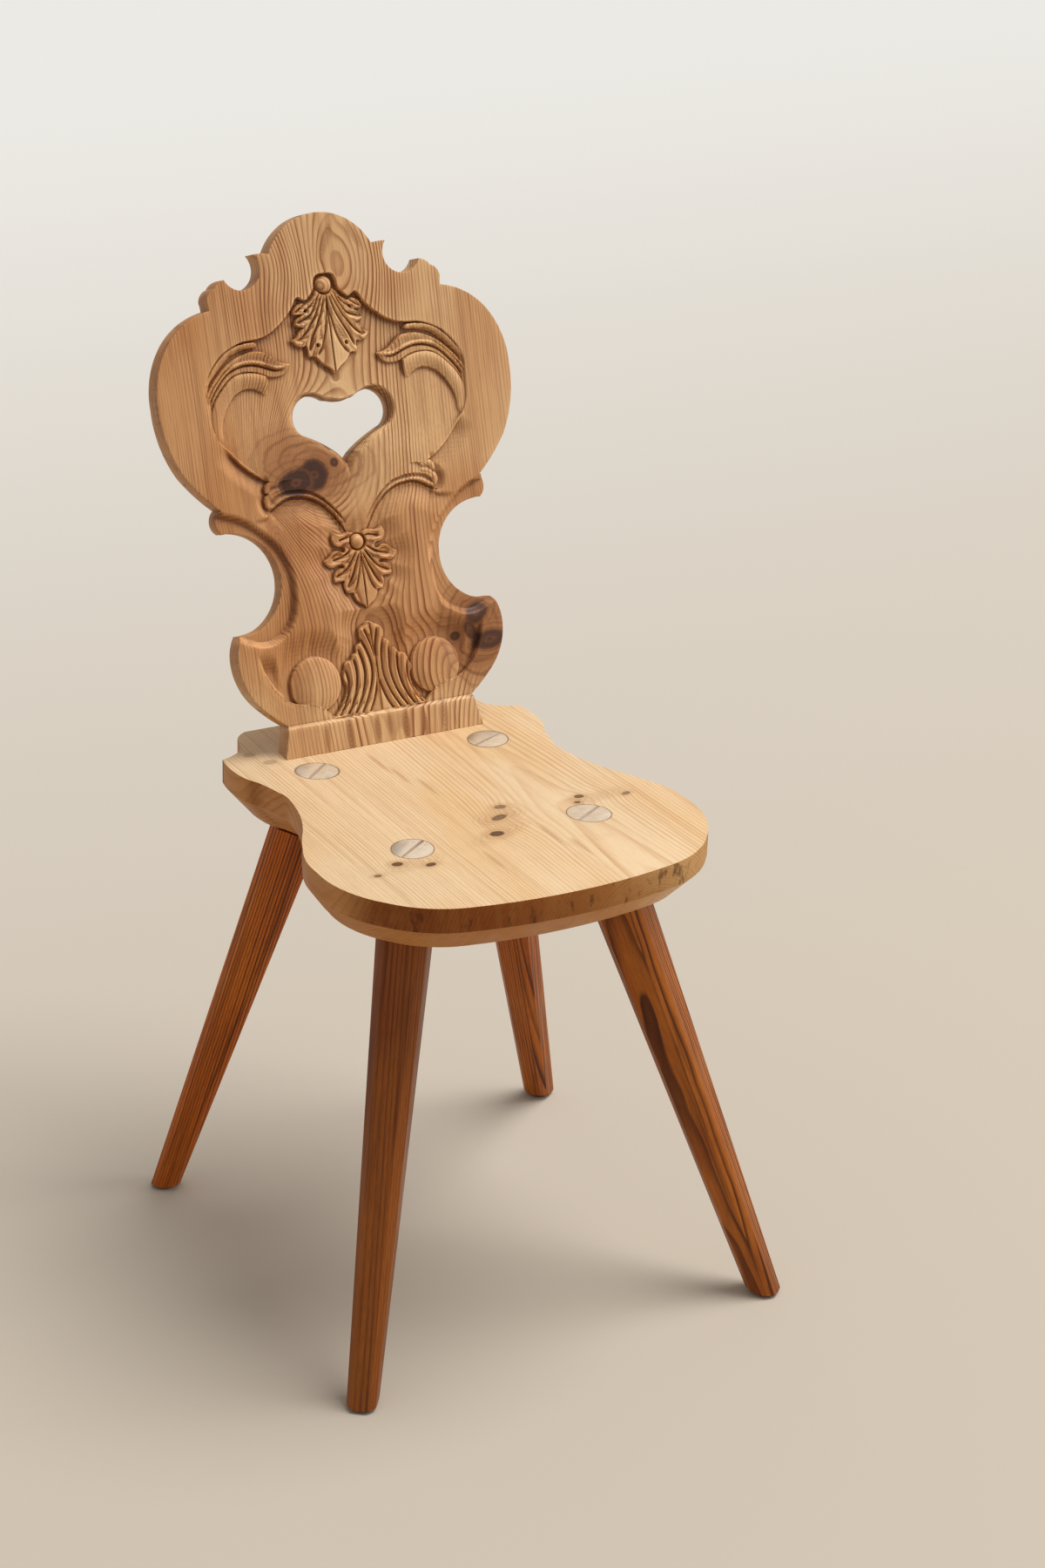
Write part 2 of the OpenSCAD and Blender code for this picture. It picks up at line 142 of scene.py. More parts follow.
def ease_edges(obj, wanted, radius, segments=2):
    """Bevels the edges that wanted(middle, angle) picks."""
    activate(obj)
    mesh = obj.data
    faces_at = {}
    for face in mesh.polygons:
        for key in face.edge_keys:
            faces_at.setdefault(key, []).append(face.normal.copy())
    bpy.ops.object.mode_set(mode="EDIT")
    bpy.ops.mesh.select_all(action="DESELECT")
    bpy.ops.mesh.select_mode(type="EDGE")
    bpy.ops.object.mode_set(mode="OBJECT")
    for edge in mesh.edges:
        normals = faces_at.get(tuple(sorted(edge.vertices)), ())
        if len(normals) != 2:
            continue
        angle = math.degrees(normals[0].angle(normals[1], 0))
        a, b = (mesh.vertices[i].co for i in edge.vertices)
        edge.select = bool(wanted((a + b) / 2, angle))
    bpy.ops.object.mode_set(mode="EDIT")
    bpy.ops.mesh.bevel(offset=radius, segments=segments, affect="EDGES", clamp_overlap=True)
    bpy.ops.object.mode_set(mode="OBJECT")


def finish_piece(obj, material, slot, *nodes):
    activate(obj)
    bpy.ops.object.shade_smooth_by_angle(angle=math.radians(32))
    if material is not None:
        obj.data.materials.clear()
        obj.data.materials.append(material)
    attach(obj, "root")
    if nodes:
        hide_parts(*nodes)
    return obj


# ---- Plane curves --------------------------------------------------------------------------


def smoothstep(v, a, b):
    t = np.clip((v - a) / (b - a), 0, 1)
    return t * t * (3 - 2 * t)


def arc(p, q, rise, tol=0.03):
    """Points from p up to, but without, q; the arc stands rise to the left of the way."""
    p, q = np.array(p, float), np.array(q, float)
    span = np.hypot(*(q - p))
    if abs(rise) < 0.05:
        n = max(1, round(span / 1.2))
        return [p + (q - p) * i / n for i in range(n)]
    left = np.array([p[1] - q[1], q[0] - p[0]]) / span
    h, side = abs(rise), math.copysign(1, rise)
    r = (span * span / 4 + h * h) / (2 * h)
    c = (p + q) / 2 - left * side * (r - h)
    start = math.atan2(p[1] - c[1], p[0] - c[0])
    sweep = 4 * math.atan(2 * h / span)
    n = max(2, math.ceil(r * sweep / 1.2), math.ceil(sweep / (2 * math.acos(1 - tol / r))))
    turns = [start - side * sweep * i / n for i in range(n)]
    return [c + r * np.array([math.cos(t), math.sin(t)]) for t in turns]


def trace(path):
    points = []
    for a, b in zip(path, path[1:]):
        points += arc(a[:2], b[:2], a[2])
    return np.array(points + [np.array(path[-1][:2], float)])


def mirrored(half):
    return np.vstack([half, half[-2:0:-1] * [-1, 1]])


def curve(points, steps=5):
    """A smooth line through the points."""
    p = np.array(points, float)
    p = np.vstack([2 * p[0] - p[1], p, 2 * p[-1] - p[-2]])
    out = []
    for i in range(1, len(p) - 2):
        a, b, c, d = p[i - 1:i + 3]
        for t in np.arange(steps) / steps:
            out.append(0.5 * (2 * b + (c - a) * t + (2 * a - 5 * b + 4 * c - d) * t * t
                              + (3 * b - a - 3 * c + d) * t ** 3))
    return np.array(out + [p[-2]])


def closed(loop):
    return np.vstack([loop, loop[:1]])


class Field:
    """Plane points, in mm, sorted into square tiles so that a short line meets only those near it."""

    tile = 8.0

    def __init__(self, x, y):
        self.x, self.y = x, y
        self.starts = None

    def sort(self):
        self.low = np.array([self.x.min(), self.y.min()])
        cells = np.floor((np.column_stack([self.x, self.y]) - self.low) / self.tile).astype(int)
        self.across = int(cells[:, 0].max()) + 1
        self.down = int(cells[:, 1].max()) + 1
        key = cells[:, 1] * self.across + cells[:, 0]
        self.order = np.argsort(key, kind="stable")
        self.starts = np.searchsorted(key[self.order], np.arange(self.across * self.down + 1))

    def within(self, low, high):
        """Indices of the points in the tiles that a box touches."""
        if self.starts is None:
            self.sort()
        i0, j0 = np.floor((low - self.low) / self.tile).astype(int)
        i1, j1 = np.floor((high - self.low) / self.tile).astype(int)
        i0, i1 = max(i0, 0), min(i1, self.across - 1)
        if i0 > i1:
            return self.order[:0]
        rows = [j * self.across for j in range(max(j0, 0), min(j1, self.down - 1) + 1)]
        parts = [self.order[self.starts[row + i0]:self.starts[row + i1 + 1]] for row in rows]
        return np.concatenate(parts) if parts else self.order[:0]

    def from_line(self, line, reach):
        """Distance to a line, up to reach, and how far along it the nearest place is, from 0 to 1."""
        best, at = np.full(self.x.shape, float(reach) ** 2), np.zeros(self.x.shape)
        steps = np.diff(line, axis=0)
        lengths = np.hypot(steps[:, 0], steps[:, 1]) + 1e-9
        starts = np.concatenate([[0], np.cumsum(lengths)])
        for a, v, n, begun in zip(line, steps, lengths, starts):
            k = self.within(np.minimum(a, a + v) - reach, np.maximum(a, a + v) + reach)
            if not len(k):
                continue
            dx, dy = self.x[k] - a[0], self.y[k] - a[1]
            u = np.clip((dx * v[0] + dy * v[1]) / (n * n), 0, 1)
            q = (dx - u * v[0]) ** 2 + (dy - u * v[1]) ** 2
            m = q < best[k]
            best[k[m]] = q[m]
            at[k[m]] = (begun + u[m] * n) / starts[-1]
        return np.sqrt(best), at

    def inside(self, loop):
        hit = np.zeros(self.x.shape, bool)
        low, high = loop.min(0), loop.max(0)
        k = np.flatnonzero((self.x > low[0]) & (self.x < high[0]) & (self.y > low[1]) & (self.y < high[1]))
        px, py = self.x[k], self.y[k]
        odd = np.zeros(len(k), bool)
        for (x1, y1), (x2, y2) in zip(loop, np.roll(loop, -1, 0)):
            if y1 != y2:
                odd ^= ((y1 > py) != (y2 > py)) & (px < (x2 - x1) * (py - y1) / (y2 - y1) + x1)
        hit[k] = odd
        return hit

    def depth_in(self, loop, reach):
        """Distance inside a closed outline, less than nought outside, both up to reach."""
        far, _ = self.from_line(closed(loop), reach)
        return np.where(self.inside(loop), far, -far)


# ---- The back's outlines, in mm: x across, y up the plank from the seat ---------------------

BOARD = mirrored(trace([
    [0, 495.5, 9.1], [53, 462, 0.8], [67.5, 463.2, -1.2], [63.3, 450, -14.6], [100, 443.3, 1.4],
    [111, 436.5, 2.4], [120, 425, -0.3], [119, 417, 4.6], [163, 392, 5.4], [181.3, 335, 4.7],
    [165, 270, 1.4], [135, 236.5, 5.2], [134.5, 214.3, -0.3], [127, 214.1, -36.6], [112, 122, -0.8],
    [131.5, 119.5, 1.9], [138.4, 95, 5.2], [118, 48.5, 0.6], [97, 30.5, 0], [97.7, 28, -0.4],
    [104.3, 0, 0], [0, 0, 0]]))


def heart(scale, point, tip):
    """The heart's outline, drawn about its middle; its lobes stand a little to the right."""
    loop = mirrored(trace([[0, 323, -0.4], [11, 325.2, -0.7], [19, 328, 1.4], [36, 332, 5.2], [53, 309, 1.9],
                           [45, 294, -1.2], [13, point, -1], [0, tip, 0]]))
    loop = np.array([0.0, 292.0]) + (loop - [0, 292]) * scale
    return loop + np.column_stack([2.6 * smoothstep(loop[:, 1], 258, 300), np.zeros(len(loop))])


HEART_EDGE = heart(1.02, 273, 252)
HEART = heart(98 / 106, 276, 262)
UPPER_GROUND = mirrored(curve([
    [0, 440], [6, 439.5], [10, 437], [12, 432], [13, 426], [17, 421], [22, 417], [26, 418.5], [29, 420.5],
    [33, 418], [38, 410], [47, 401], [58, 393], [68, 388.5], [78, 386.8], [90, 386], [102, 382.5],
    [114, 376], [124, 366], [131, 355], [134, 345], [133.5, 330], [131.5, 310], [126, 297], [118, 288],
    [108, 276], [97, 266], [86, 258.5], [76, 255], [60, 255], [40, 250], [20, 240], [0, 236]], 4))
OVAL_FOOT = curve([[124, 294], [118, 288], [108, 276], [97, 266], [86, 258.5], [76, 255]])
BAND_TOP = curve([[3, 200], [10, 211], [20, 224], [30, 234.5], [40, 241.6], [46, 243.8], [54, 245.6],
                  [60, 246], [70, 245.6], [78, 243.5], [84, 239]])
BAND_FOOT = curve([[9, 200], [16, 212], [22, 220.5], [31, 229.5], [40, 235.3], [48, 238.4], [60, 239.8],
                   [66, 239.3], [72, 237.6], [78, 234.4], [83.2, 231.4], [87, 229.5]])
NECK = np.vstack([BAND_FOOT, [[90, 226], [112, 222], [80, 190], [70, 150], [70, 125], [0, 125], [0, 200]]])
WAIST_LINE = curve([[145, 240], [133, 233], [120, 228.5], [107, 221], [94, 210], [83, 198], [75.5, 184],
                    [71.5, 170], [70.5, 155], [72, 140], [76, 127], [84, 117], [94, 110.5], [104, 107.5],
                    [115, 108.5], [130, 115], [145, 123]])
LOWER_GROUND = np.vstack([curve([
    [0, 30], [0, 80], [0, 130], [40, 140], [90, 128], [112, 112], [118.5, 100], [116.5, 90], [113, 80],
    [107, 68], [99, 58], [90, 51], [80, 47.5], [70.5, 46.8], [60, 42], [48, 31]], 5)])

# ---- The back's carved ornaments: outlines, then light ridges and dark furrows --------------

UPPER_LEAF = curve([
    [0, 424], [5, 424.5], [7.5, 426], [10, 422.5], [14.2, 417.2], [19.5, 413.8], [23.2, 413.3],
    [24.6, 415], [30, 413.3], [33.5, 410], [35.5, 406.5], [34.4, 404.3], [30, 403.9], [27.3, 403.4],
    [30.5, 401.9], [34, 399.1], [35.2, 395.7], [32, 392.9], [27.6, 391.5], [30.2, 390.4], [32.8, 386.9],
    [36, 383], [40.3, 381.4], [37.5, 378.6], [35, 375.6], [30, 373.8], [26.2, 374.8], [25.2, 371],
    [25.2, 364.8], [19.8, 364.6], [17.4, 363.6], [14.9, 360], [12.2, 356.9], [6.7, 353.2], [2.7, 349.6],
    [0, 345]], 3)
UPPER_LEAF_RIDGES = [  # points, half width, height
    ([[7.1, 425.6], [10.8, 420.9], [13.8, 416.4], [17.5, 413.4], [21.5, 411], [26.5, 407.4],
      [30.5, 405.2], [34.2, 405.2]], 0.9, 1.0),
    ([[24.6, 414.2], [29.6, 412.4], [32.8, 409.4], [34.6, 406.4]], 0.7, 0.7),
    ([[5, 422.2], [8.8, 414.8], [11.5, 409.3], [14.9, 403.9], [19, 398.6], [23.1, 395.6], [28.5, 394.4],
      [33.6, 395.2]], 1.0, 1.1),
    ([[20.3, 403.7], [26.5, 402], [30.5, 401], [33.6, 398.4], [34.6, 396]], 0.7, 0.8),
    ([[3.7, 419.5], [6.1, 413.4], [9.5, 405.9], [12.9, 399.8], [16.9, 393], [20.3, 387.6], [23.7, 382.8],
      [27.5, 379.2], [32, 377.6], [36, 379.2]], 1.2, 1.2),
    ([[27.1, 390.8], [30.2, 389.4], [32.6, 386.2], [35.6, 382.6], [39.4, 381.4]], 0.7, 0.8),
    ([[1.3, 418.2], [2.7, 410.7], [5.4, 402.5], [8.8, 394.4], [12.9, 386.9], [16.3, 380.7], [18.3, 375.3],
      [21, 369.9], [23.8, 366.3]], 1.0, 1.1),
    ([[11.3, 376.5], [11.6, 373.4], [14.9, 370.3], [17, 367.1], [17.4, 364.6]], 0.7, 0.8),
    ([[1.7, 400], [1.9, 388], [2.6, 376]], 0.9, 0.4),
]
UPPER_LEAF_FURROWS = [
    ([[11.5, 417], [15.5, 412.4], [20, 408.8], [24, 406]], 0.9, 1.6),
    ([[22.5, 412.4], [27, 410.2], [30.5, 408], [33.2, 406.3]], 1.0, 2.2),
    ([[6.4, 422.6], [10.5, 414.5], [13.6, 408.6], [17, 403.6], [19.8, 401.2], [25.8, 398.8],
      [33, 396.8]], 1.1, 2.2),
    ([[4.6, 421], [7.6, 413.4], [10.9, 405.9], [14.3, 399.8], [18.6, 393.8], [22.5, 389.2], [27.1, 384.4],
      [31, 381.6], [35, 380.6]], 1.2, 2.3),
    ([[2.5, 419], [4.6, 411.4], [7.4, 403.4], [10.8, 395.8], [14.8, 388.9], [18.4, 382.2], [21, 376.4],
      [23.2, 370.5]], 1.1, 2.2),
    ([[0.6, 417], [1.2, 406], [3.2, 394.4], [5.6, 384.1], [8.6, 375.6], [12.6, 369], [16, 364.6]], 1.1, 1.9),
    ([[0, 404], [0, 390], [0, 376], [0, 362]], 0.7, 0.1),
]
UPPER_LEAF_EYES = [(22.6, 406.9, 2.2, 1.5, -28), (14.6, 374.2, 1.8, 2.0, 0)]
UPPER_LEAF_NICKS = [([[5, 391.5], [8, 389]], 0.5), ([[6, 388.6], [9.2, 386]], 0.5),
                    ([[7.6, 385.2], [10.8, 382.8]], 0.5), ([[9, 381.8], [12, 379.8]], 0.5),
                    ([[13.6, 412.6], [17, 413.2]], 0.5), ([[16.4, 409.8], [19.6, 411]], 0.5)]

LOWER_LEAF = curve([
    [0, 195], [3, 196], [6, 199.3], [10.8, 200], [17.4, 198.8], [22.2, 200.1], [25.4, 201.4], [27.2, 198.6],
    [28, 195], [26.8, 190.8], [24, 187.8], [17.6, 186.4], [15.8, 183.8], [17.4, 181.8], [21, 183.6],
    [25.2, 184.3], [28.8, 183], [32.4, 179.6], [36, 177.4], [38.4, 175.6], [36, 172], [32.4, 169.1],
    [28.2, 168.7], [24, 170], [20, 170.2], [18.4, 168.6], [20.1, 167.3], [24, 167.2], [27.6, 165.4],
    [29.8, 162.6], [30.2, 159], [30, 155], [25.2, 154.8], [20.4, 155], [21.2, 151.8], [20.3, 147.6],
    [18.6, 143.8], [15, 143.1], [12.7, 142.6], [12.7, 140], [11.2, 137], [9, 134], [4.8, 131.2],
    [1.8, 128.6], [0, 125.6]], 3)
LOWER_LEAF_RIDGES = [
    ([[4.8, 198], [10.8, 198.9], [18.6, 197.2], [24, 199.5]], 0.8, 0.8),
    ([[6, 190.8], [12, 190.6], [19.2, 190], [24.2, 191], [27, 194.6]], 1.0, 0.9),
    ([[4.8, 183.6], [9, 180], [13.8, 176.4], [19.2, 174], [25.8, 171.8], [32.4, 171.4]], 1.1, 1.1),
    ([[17.6, 182.4], [24, 183.4], [28.6, 181.8], [32.6, 178], [37, 175.8]], 0.7, 0.8),
    ([[2.4, 181.2], [6, 174.6], [10.2, 168.6], [15, 162.6], [19.2, 158.6], [24, 156.8],
      [28.4, 157]], 1.1, 1.1),
    ([[20, 167], [24, 166.4], [27.2, 164.4], [29, 161.6]], 0.7, 0.7),
    ([[0.6, 180], [2.4, 173.4], [4.8, 166.2], [7.2, 159], [9.6, 152.4], [12.6, 147.6],
      [16.8, 144.9]], 1.0, 1.1),
    ([[1.6, 160], [1.8, 150], [2.4, 142]], 0.8, 0.35),
]
LOWER_LEAF_FURROWS = [
    ([[5, 194.4], [10.2, 195.4], [15, 194.3], [20.5, 192.8]], 1.1, 2.0),
    ([[5.6, 186.2], [10, 183], [15, 179.4], [21, 177.2], [29.4, 175.2]], 1.2, 2.1),
    ([[19.8, 179.4], [25.2, 180.6], [30, 177.4]], 1.2, 1.4),
    ([[4, 181.6], [8.4, 175], [13, 168.8], [18, 164.2], [23.4, 161.6], [28.4, 159.4]], 1.2, 2.1),
    ([[1.9, 179], [5.4, 170.6], [9.2, 162.4], [13, 155], [17.6, 148.4]], 1.2, 2.1),
    ([[0.3, 177.5], [2, 168.6], [4.6, 159.4], [7.2, 150.6], [10.6, 143.4]], 0.9, 1.5),
    ([[0, 162], [0, 151], [0, 140]], 0.7, 0.6),
]
LOWER_LEAF_NICKS = [([[9.4, 189.4], [11.6, 186.6]], 0.5), ([[12, 189], [13.6, 186.4]], 0.5),
                    ([[9.6, 177], [12.2, 174]], 0.5), ([[12, 175.4], [14.4, 172.2]], 0.5),
                    ([[14.6, 174], [16.6, 170.8]], 0.5), ([[17, 173], [18.4, 170.6]], 0.5)]

FEATHER_TOP = curve([[75.4, 380.6], [77.7, 384.2], [84, 384.8], [94.5, 383.7], [101.5, 381.5], [108.5, 378.2],
                     [115.5, 372.6], [121.1, 367], [127.4, 359.3], [131.9, 353], [134.2, 345], [131.4, 347.6],
                     [126, 353], [119, 360], [112, 367], [105, 372.6], [98, 375.8], [91, 377.5],
                     [79.8, 378.8], [75.4, 380.6]], 3)
FEATHER_TOP_CREST = curve([[77.5, 382.4], [84, 383], [94.5, 382], [101.5, 379.6], [108.5, 376.2],
                           [115.5, 370.6], [121.1, 365], [127.4, 357.3], [131.9, 350.5]])
FEATHER_MID = curve([[45, 360.8], [52.5, 362.3], [58.1, 365.2], [63, 369.4], [70, 374.2], [77, 375.9],
                     [84, 376], [91, 374.7], [98, 372.2], [105, 368.8], [112, 363.9], [119, 357.3],
                     [126, 349.8], [130.5, 343.5], [134, 336], [133, 322], [131, 310], [130.2, 320.8],
                     [128.6, 327.8], [124.4, 335.5], [118.8, 342.4], [111.8, 349.3], [105, 354.5],
                     [98, 357], [91, 357.7], [84, 357], [77, 355.3], [70, 352], [65.1, 350.6],
                     [58.1, 350.3], [51.8, 352], [47.6, 355.6], [45, 360.8]], 3)
FEATHER_MID_UPPER = curve([[46, 360.6], [53, 361.6], [60, 366], [70, 373], [77, 374.7], [84, 374.8],
                           [91, 373.4], [98, 371], [105, 367.6], [112, 362.6], [119, 356],
                           [126, 348.6], [132.5, 338]])
FEATHER_MID_RIDGE = curve([[48, 360], [51.8, 359.3], [59.5, 359], [66.5, 361.4], [73.5, 364.2], [80.5, 366.2],
                           [87.5, 366.8], [94.5, 366.3], [101.5, 364.6], [108.5, 361.2], [115.5, 355.6],
                           [122.5, 347.8], [128.8, 339.6], [133, 332]])
FEATHER_MID_STEP = curve([[104, 365.2], [112, 359.8], [119, 353], [126, 345], [131, 337.4], [133.6, 331]])
FEATHER_MID_FURROW = curve([[51, 357.4], [55, 356.6], [60.9, 356.5], [66.5, 358.3], [73.5, 361.1],
                            [80.5, 363.2], [87.5, 363.9], [94.5, 363.4], [101.5, 361.4],
                            [108.5, 357.9], [115.5, 351.8], [122.5, 343.9], [128.3, 335.6], [132, 327]])
FEATHER_LOW = curve([[70, 352.2], [77, 355.2], [84, 356.9], [91, 357.6], [98, 356.9], [105, 354.4],
                     [111.8, 349.2], [118.8, 342.3], [124.4, 335.4], [128.6, 327.7], [130.4, 318],
                     [130.4, 308], [128.6, 300], [124, 292.5], [121, 300], [120.8, 307.5], [119, 316],
                     [115.5, 323.7], [110.6, 330.7], [105, 337], [98, 341], [91, 342.4], [85.4, 341.7],
                     [79.8, 339.2], [75.6, 336.1], [72.1, 335.6], [70.6, 339], [69.6, 346], [70, 352.2]], 3)
FEATHER_LOW_CREST = curve([[71, 349], [77, 351], [84, 352.6], [91, 353.2], [98, 352.2], [105, 349.4],
                           [112, 343], [118.6, 334.6], [124, 324], [126.6, 313], [126, 302]])

BUDS = [
    curve([[72, 254.2], [74.8, 255.7], [78, 256.4], [82.4, 256.6], [85.4, 255.6], [87.4, 253.2],
           [88.9, 249.6], [88.6, 246.8], [86.6, 245.2], [84, 247.2], [80, 249.3], [76, 250], [72, 254.2]], 3),
    curve([[72.5, 248.6], [78, 248.6], [82, 247.2], [86, 244.6], [88.6, 243.8], [90, 241.2], [90.6, 238],
           [89.6, 234], [87.4, 231.4], [85, 231.6], [84, 235], [81, 239.5], [77, 243.6], [72.5, 248.6]], 3)]
BUD_CREST = [curve([[74, 253.4], [79, 254.2], [83, 253.6], [86, 250.6], [87.4, 247.2]]),
             curve([[75, 247.8], [80, 246.6], [84, 243.6], [87, 239.4], [87.6, 234]])]

VOLUTE, VOLUTE_R = (62.5, 64.0), 26.4
FAN = curve([[0, 115], [3, 113.8], [5.6, 112], [9, 110.5], [12.2, 107.6], [13.4, 103], [13, 97], [15.4, 95.4],
             [18.4, 92.4], [19.4, 87.6], [22.6, 86], [25.6, 81.6], [29, 80.9], [32, 79], [34, 74],
             [36, 66], [33.6, 58], [36, 48], [42, 38], [47, 29.5], [24, 29.5], [0, 29.5]], 4)
FAN_FURROWS = [
    [[7, 108.6], [4.6, 101], [2.2, 92], [0.9, 82]],
    [[12.6, 101.6], [10, 94], [7, 85], [5.4, 76], [5.3, 66], [7.8, 55], [13.2, 42.5], [20.2, 30.6]],
    [[16.4, 91.8], [14.8, 84], [13.4, 76], [13, 66], [15.6, 53.4], [20.6, 41.6], [27.6, 30.6]],
    [[23, 83.2], [21.8, 76], [21.4, 66], [23.4, 54], [28, 42.4], [35.2, 30.6]],
    [[33.8, 75.5], [31.4, 68], [30.8, 60], [32.8, 50], [37, 40.4], [43.8, 30.6]],
    [[0.6, 60], [3.6, 49], [7.4, 39], [12, 30.6]],
]
FAN_RIDGES = [
    [[9.6, 107.6], [7.2, 99], [4.6, 90.4], [3.3, 80], [3.2, 68], [5.4, 56], [10.4, 43], [16.8, 31]],
    [[14.8, 93.6], [12.4, 88], [10.8, 78], [10.4, 67], [12.8, 54.4], [17.6, 42], [24.2, 31]],
    [[20.6, 87], [19, 79], [18.6, 67], [20.6, 54.4], [25, 42.4], [31.8, 31]],
    [[28.8, 80.2], [27.6, 72], [27.4, 62], [29.4, 51.4], [33.8, 41], [40.4, 31]],
]
BALLS = ((-0.2, 429.2, 8.4), (-1.2, 190, 7.5))  # over the leaves: x, y, radius
BLOCK_TOP = 30.4  # of the foot block
CHAMFER = 7.5  # depth of the heart's chamfer


# ---- The back's relief ---------------------------------------------------------------------


def beside(far, width):
    """1 on a line, fading with the distance from it."""
    return np.exp(-(far / width) ** 2)


def cut_lines(h, field, ridges, furrows, nicks):
    """Raises a surface along its ridges and cuts it along its furrows, both tapering at their ends."""
    for points, width, height in ridges:
        far, along = field.from_line(curve(points), 4 * width)
        taper = smoothstep(along, -0.12, 0.12) * (1 - 0.5 * smoothstep(along, 0.8, 1.1))
        h = h + taper * 1.15 * height * beside(far, width)
    for points, width, depth in furrows:
        far, along = field.from_line(curve(points), 4 * width)
        taper = smoothstep(along, -0.1, 0.16) * (1 - smoothstep(along, 0.9, 1.06))
        h = h - taper * 1.3 * depth * beside(far, 0.55 * width + 0.5 * width * along)
    for points, width in nicks:
        far, _ = field.from_line(np.array(points, float), 3)
        h = h - 0.8 * beside(far, width)
    return h


def standing_on(ground, top, reach, wall=0.9):
    """An ornament's surface, joined to the ground by a steep wall at its outline."""
    return ground + (np.maximum(top, ground) - ground) * smoothstep(reach, -0.25, wall)


def upper_ground(half, leaf):
    """The ground round the upper leaf and the heart, and the hollow outside the oval's foot."""
    side, y = half.x, half.y
    upper = half.depth_in(UPPER_GROUND, 24)
    deep = np.interp(y, [245, 268, 288, 312, 340, 362, 386, 402], [0, 0.4, 2.2, 3.3, 4.6, 5.6, 6.2, 6.4])
    deep = np.maximum(deep, 6.0 * (1 - smoothstep(-leaf, 1.5, 19)))
    deep *= 1 - 0.6 * smoothstep(side, 90, 104) * (1 - smoothstep(upper, 2.5, 6)) * smoothstep(y, 296, 316)
    far, along = half.from_line(OVAL_FOOT, 26)
    hollow = 4.4 * smoothstep(far, 0.1, 1.3) * (1 - smoothstep(far, 1.3, 19))
    hollow *= smoothstep(along, -0.05, 0.3) * (1 - 0.6 * smoothstep(along, 0.85, 1))
    return -deep * smoothstep(upper, 0, 1.3) - np.where(upper < 0, hollow, 0)


def bands(h, half, buds):
    """The band mouldings under the heart, the neck below them and the moat round the buds."""
    top_far, _ = half.from_line(BAND_TOP, 40)
    foot_far, foot_at = half.from_line(BAND_FOOT, 40)
    u = top_far / (top_far + foot_far + 1e-6)
    cove = -np.interp(u, [0, 0.1, 0.32, 0.55, 0.74, 0.9, 1], [0, 1.7, 2.7, 2.4, 1.1, 0.8, 1.8])
    h = np.where(half.inside(np.vstack([BAND_TOP, BAND_FOOT[::-1]])), cove, h)
    below = half.inside(NECK)
    neck = 5.4 * smoothstep(foot_far, -0.5, 1.2) * (1 - smoothstep(foot_far, 1.2, 27))
    neck *= 1 - smoothstep(foot_at, 0.97, 1) * 0.4
    h = np.where(below, -neck * smoothstep(half.depth_in(NECK, 6), 0, 5), h)
    h = np.where(below & (foot_far < 3), -np.maximum(2.4, neck), h)
    moat = 3.6 * (1 - smoothstep(-np.maximum(*buds), 0.5, 9)) * smoothstep(half.x, 82, 88)
    return np.minimum(h, -moat)


def lower_ground(h, half, ornament):
    """The ground round the fan and the volutes, the waist's cove and the sunk lobes."""
    side, y = half.x, half.y
    low = half.depth_in(LOWER_GROUND, 30)
    ground = 6.0 * (1 - smoothstep(-ornament, 0.6, 30)) * smoothstep(low, 0, 1.3)
    ground *= 1 - 0.75 * smoothstep(y, 78, 104) * smoothstep(side, 92, 108)
    crescent = 5.6 * smoothstep(low, 0, 3.6) * (1 - smoothstep(low, 6, 26)) * (1 - smoothstep(y, 82, 103))
    h = np.minimum(h, -np.maximum(ground, np.where(side > 50, crescent, 0)))
    cove_in = half.depth_in(np.vstack([WAIST_LINE, [[170, 125], [170, 240]]]), 40)
    cove_deep = np.interp(y, [110, 135, 170, 210, 235], [6.0, 5.4, 3.6, 5.0, 5.4])
    h = h - cove_deep * smoothstep(cove_in, -2.4, 4.6)
    return h - np.where(low < 0, 2.3 * (1 - smoothstep(y, 34, 90)), 1.2 * (1 - smoothstep(y, 31, 60)))


def feathers(h, half):
    """The three feathers of each side's spray."""
    for outline, crest, width in ((FEATHER_TOP, FEATHER_TOP_CREST, 3.6),
                                  (FEATHER_LOW, FEATHER_LOW_CREST, 12.0)):
        far, along = half.from_line(crest, 16)
        top = -0.4 - 2.9 * np.clip(far / width, 0, 1) ** 1.6 - 0.5 * smoothstep(along, 0.7, 1)
        h = standing_on(h, top, half.depth_in(outline, 8))
    upper_far, _ = half.from_line(FEATHER_MID_UPPER, 12)
    ridge_far, _ = half.from_line(FEATHER_MID_RIDGE, 12)
    furrow_far, furrow_at = half.from_line(FEATHER_MID_FURROW, 12)
    step_far, step_at = half.from_line(FEATHER_MID_STEP, 12)
    top = -1.5 + 1.1 * beside(upper_far, 1.2) + 1.2 * beside(ridge_far, 1.1)
    top -= 1.3 * np.clip((upper_far - 1) / 6, 0, 1) * (1 - beside(ridge_far, 1.6))
    top -= 2.8 * beside(furrow_far, 0.85) * smoothstep(furrow_at, -0.05, 0.15)
    top -= 2.2 * beside(step_far, 0.75) * smoothstep(step_at, -0.05, 0.2)
    return standing_on(h, np.minimum(top, -0.3), half.depth_in(FEATHER_MID, 8))


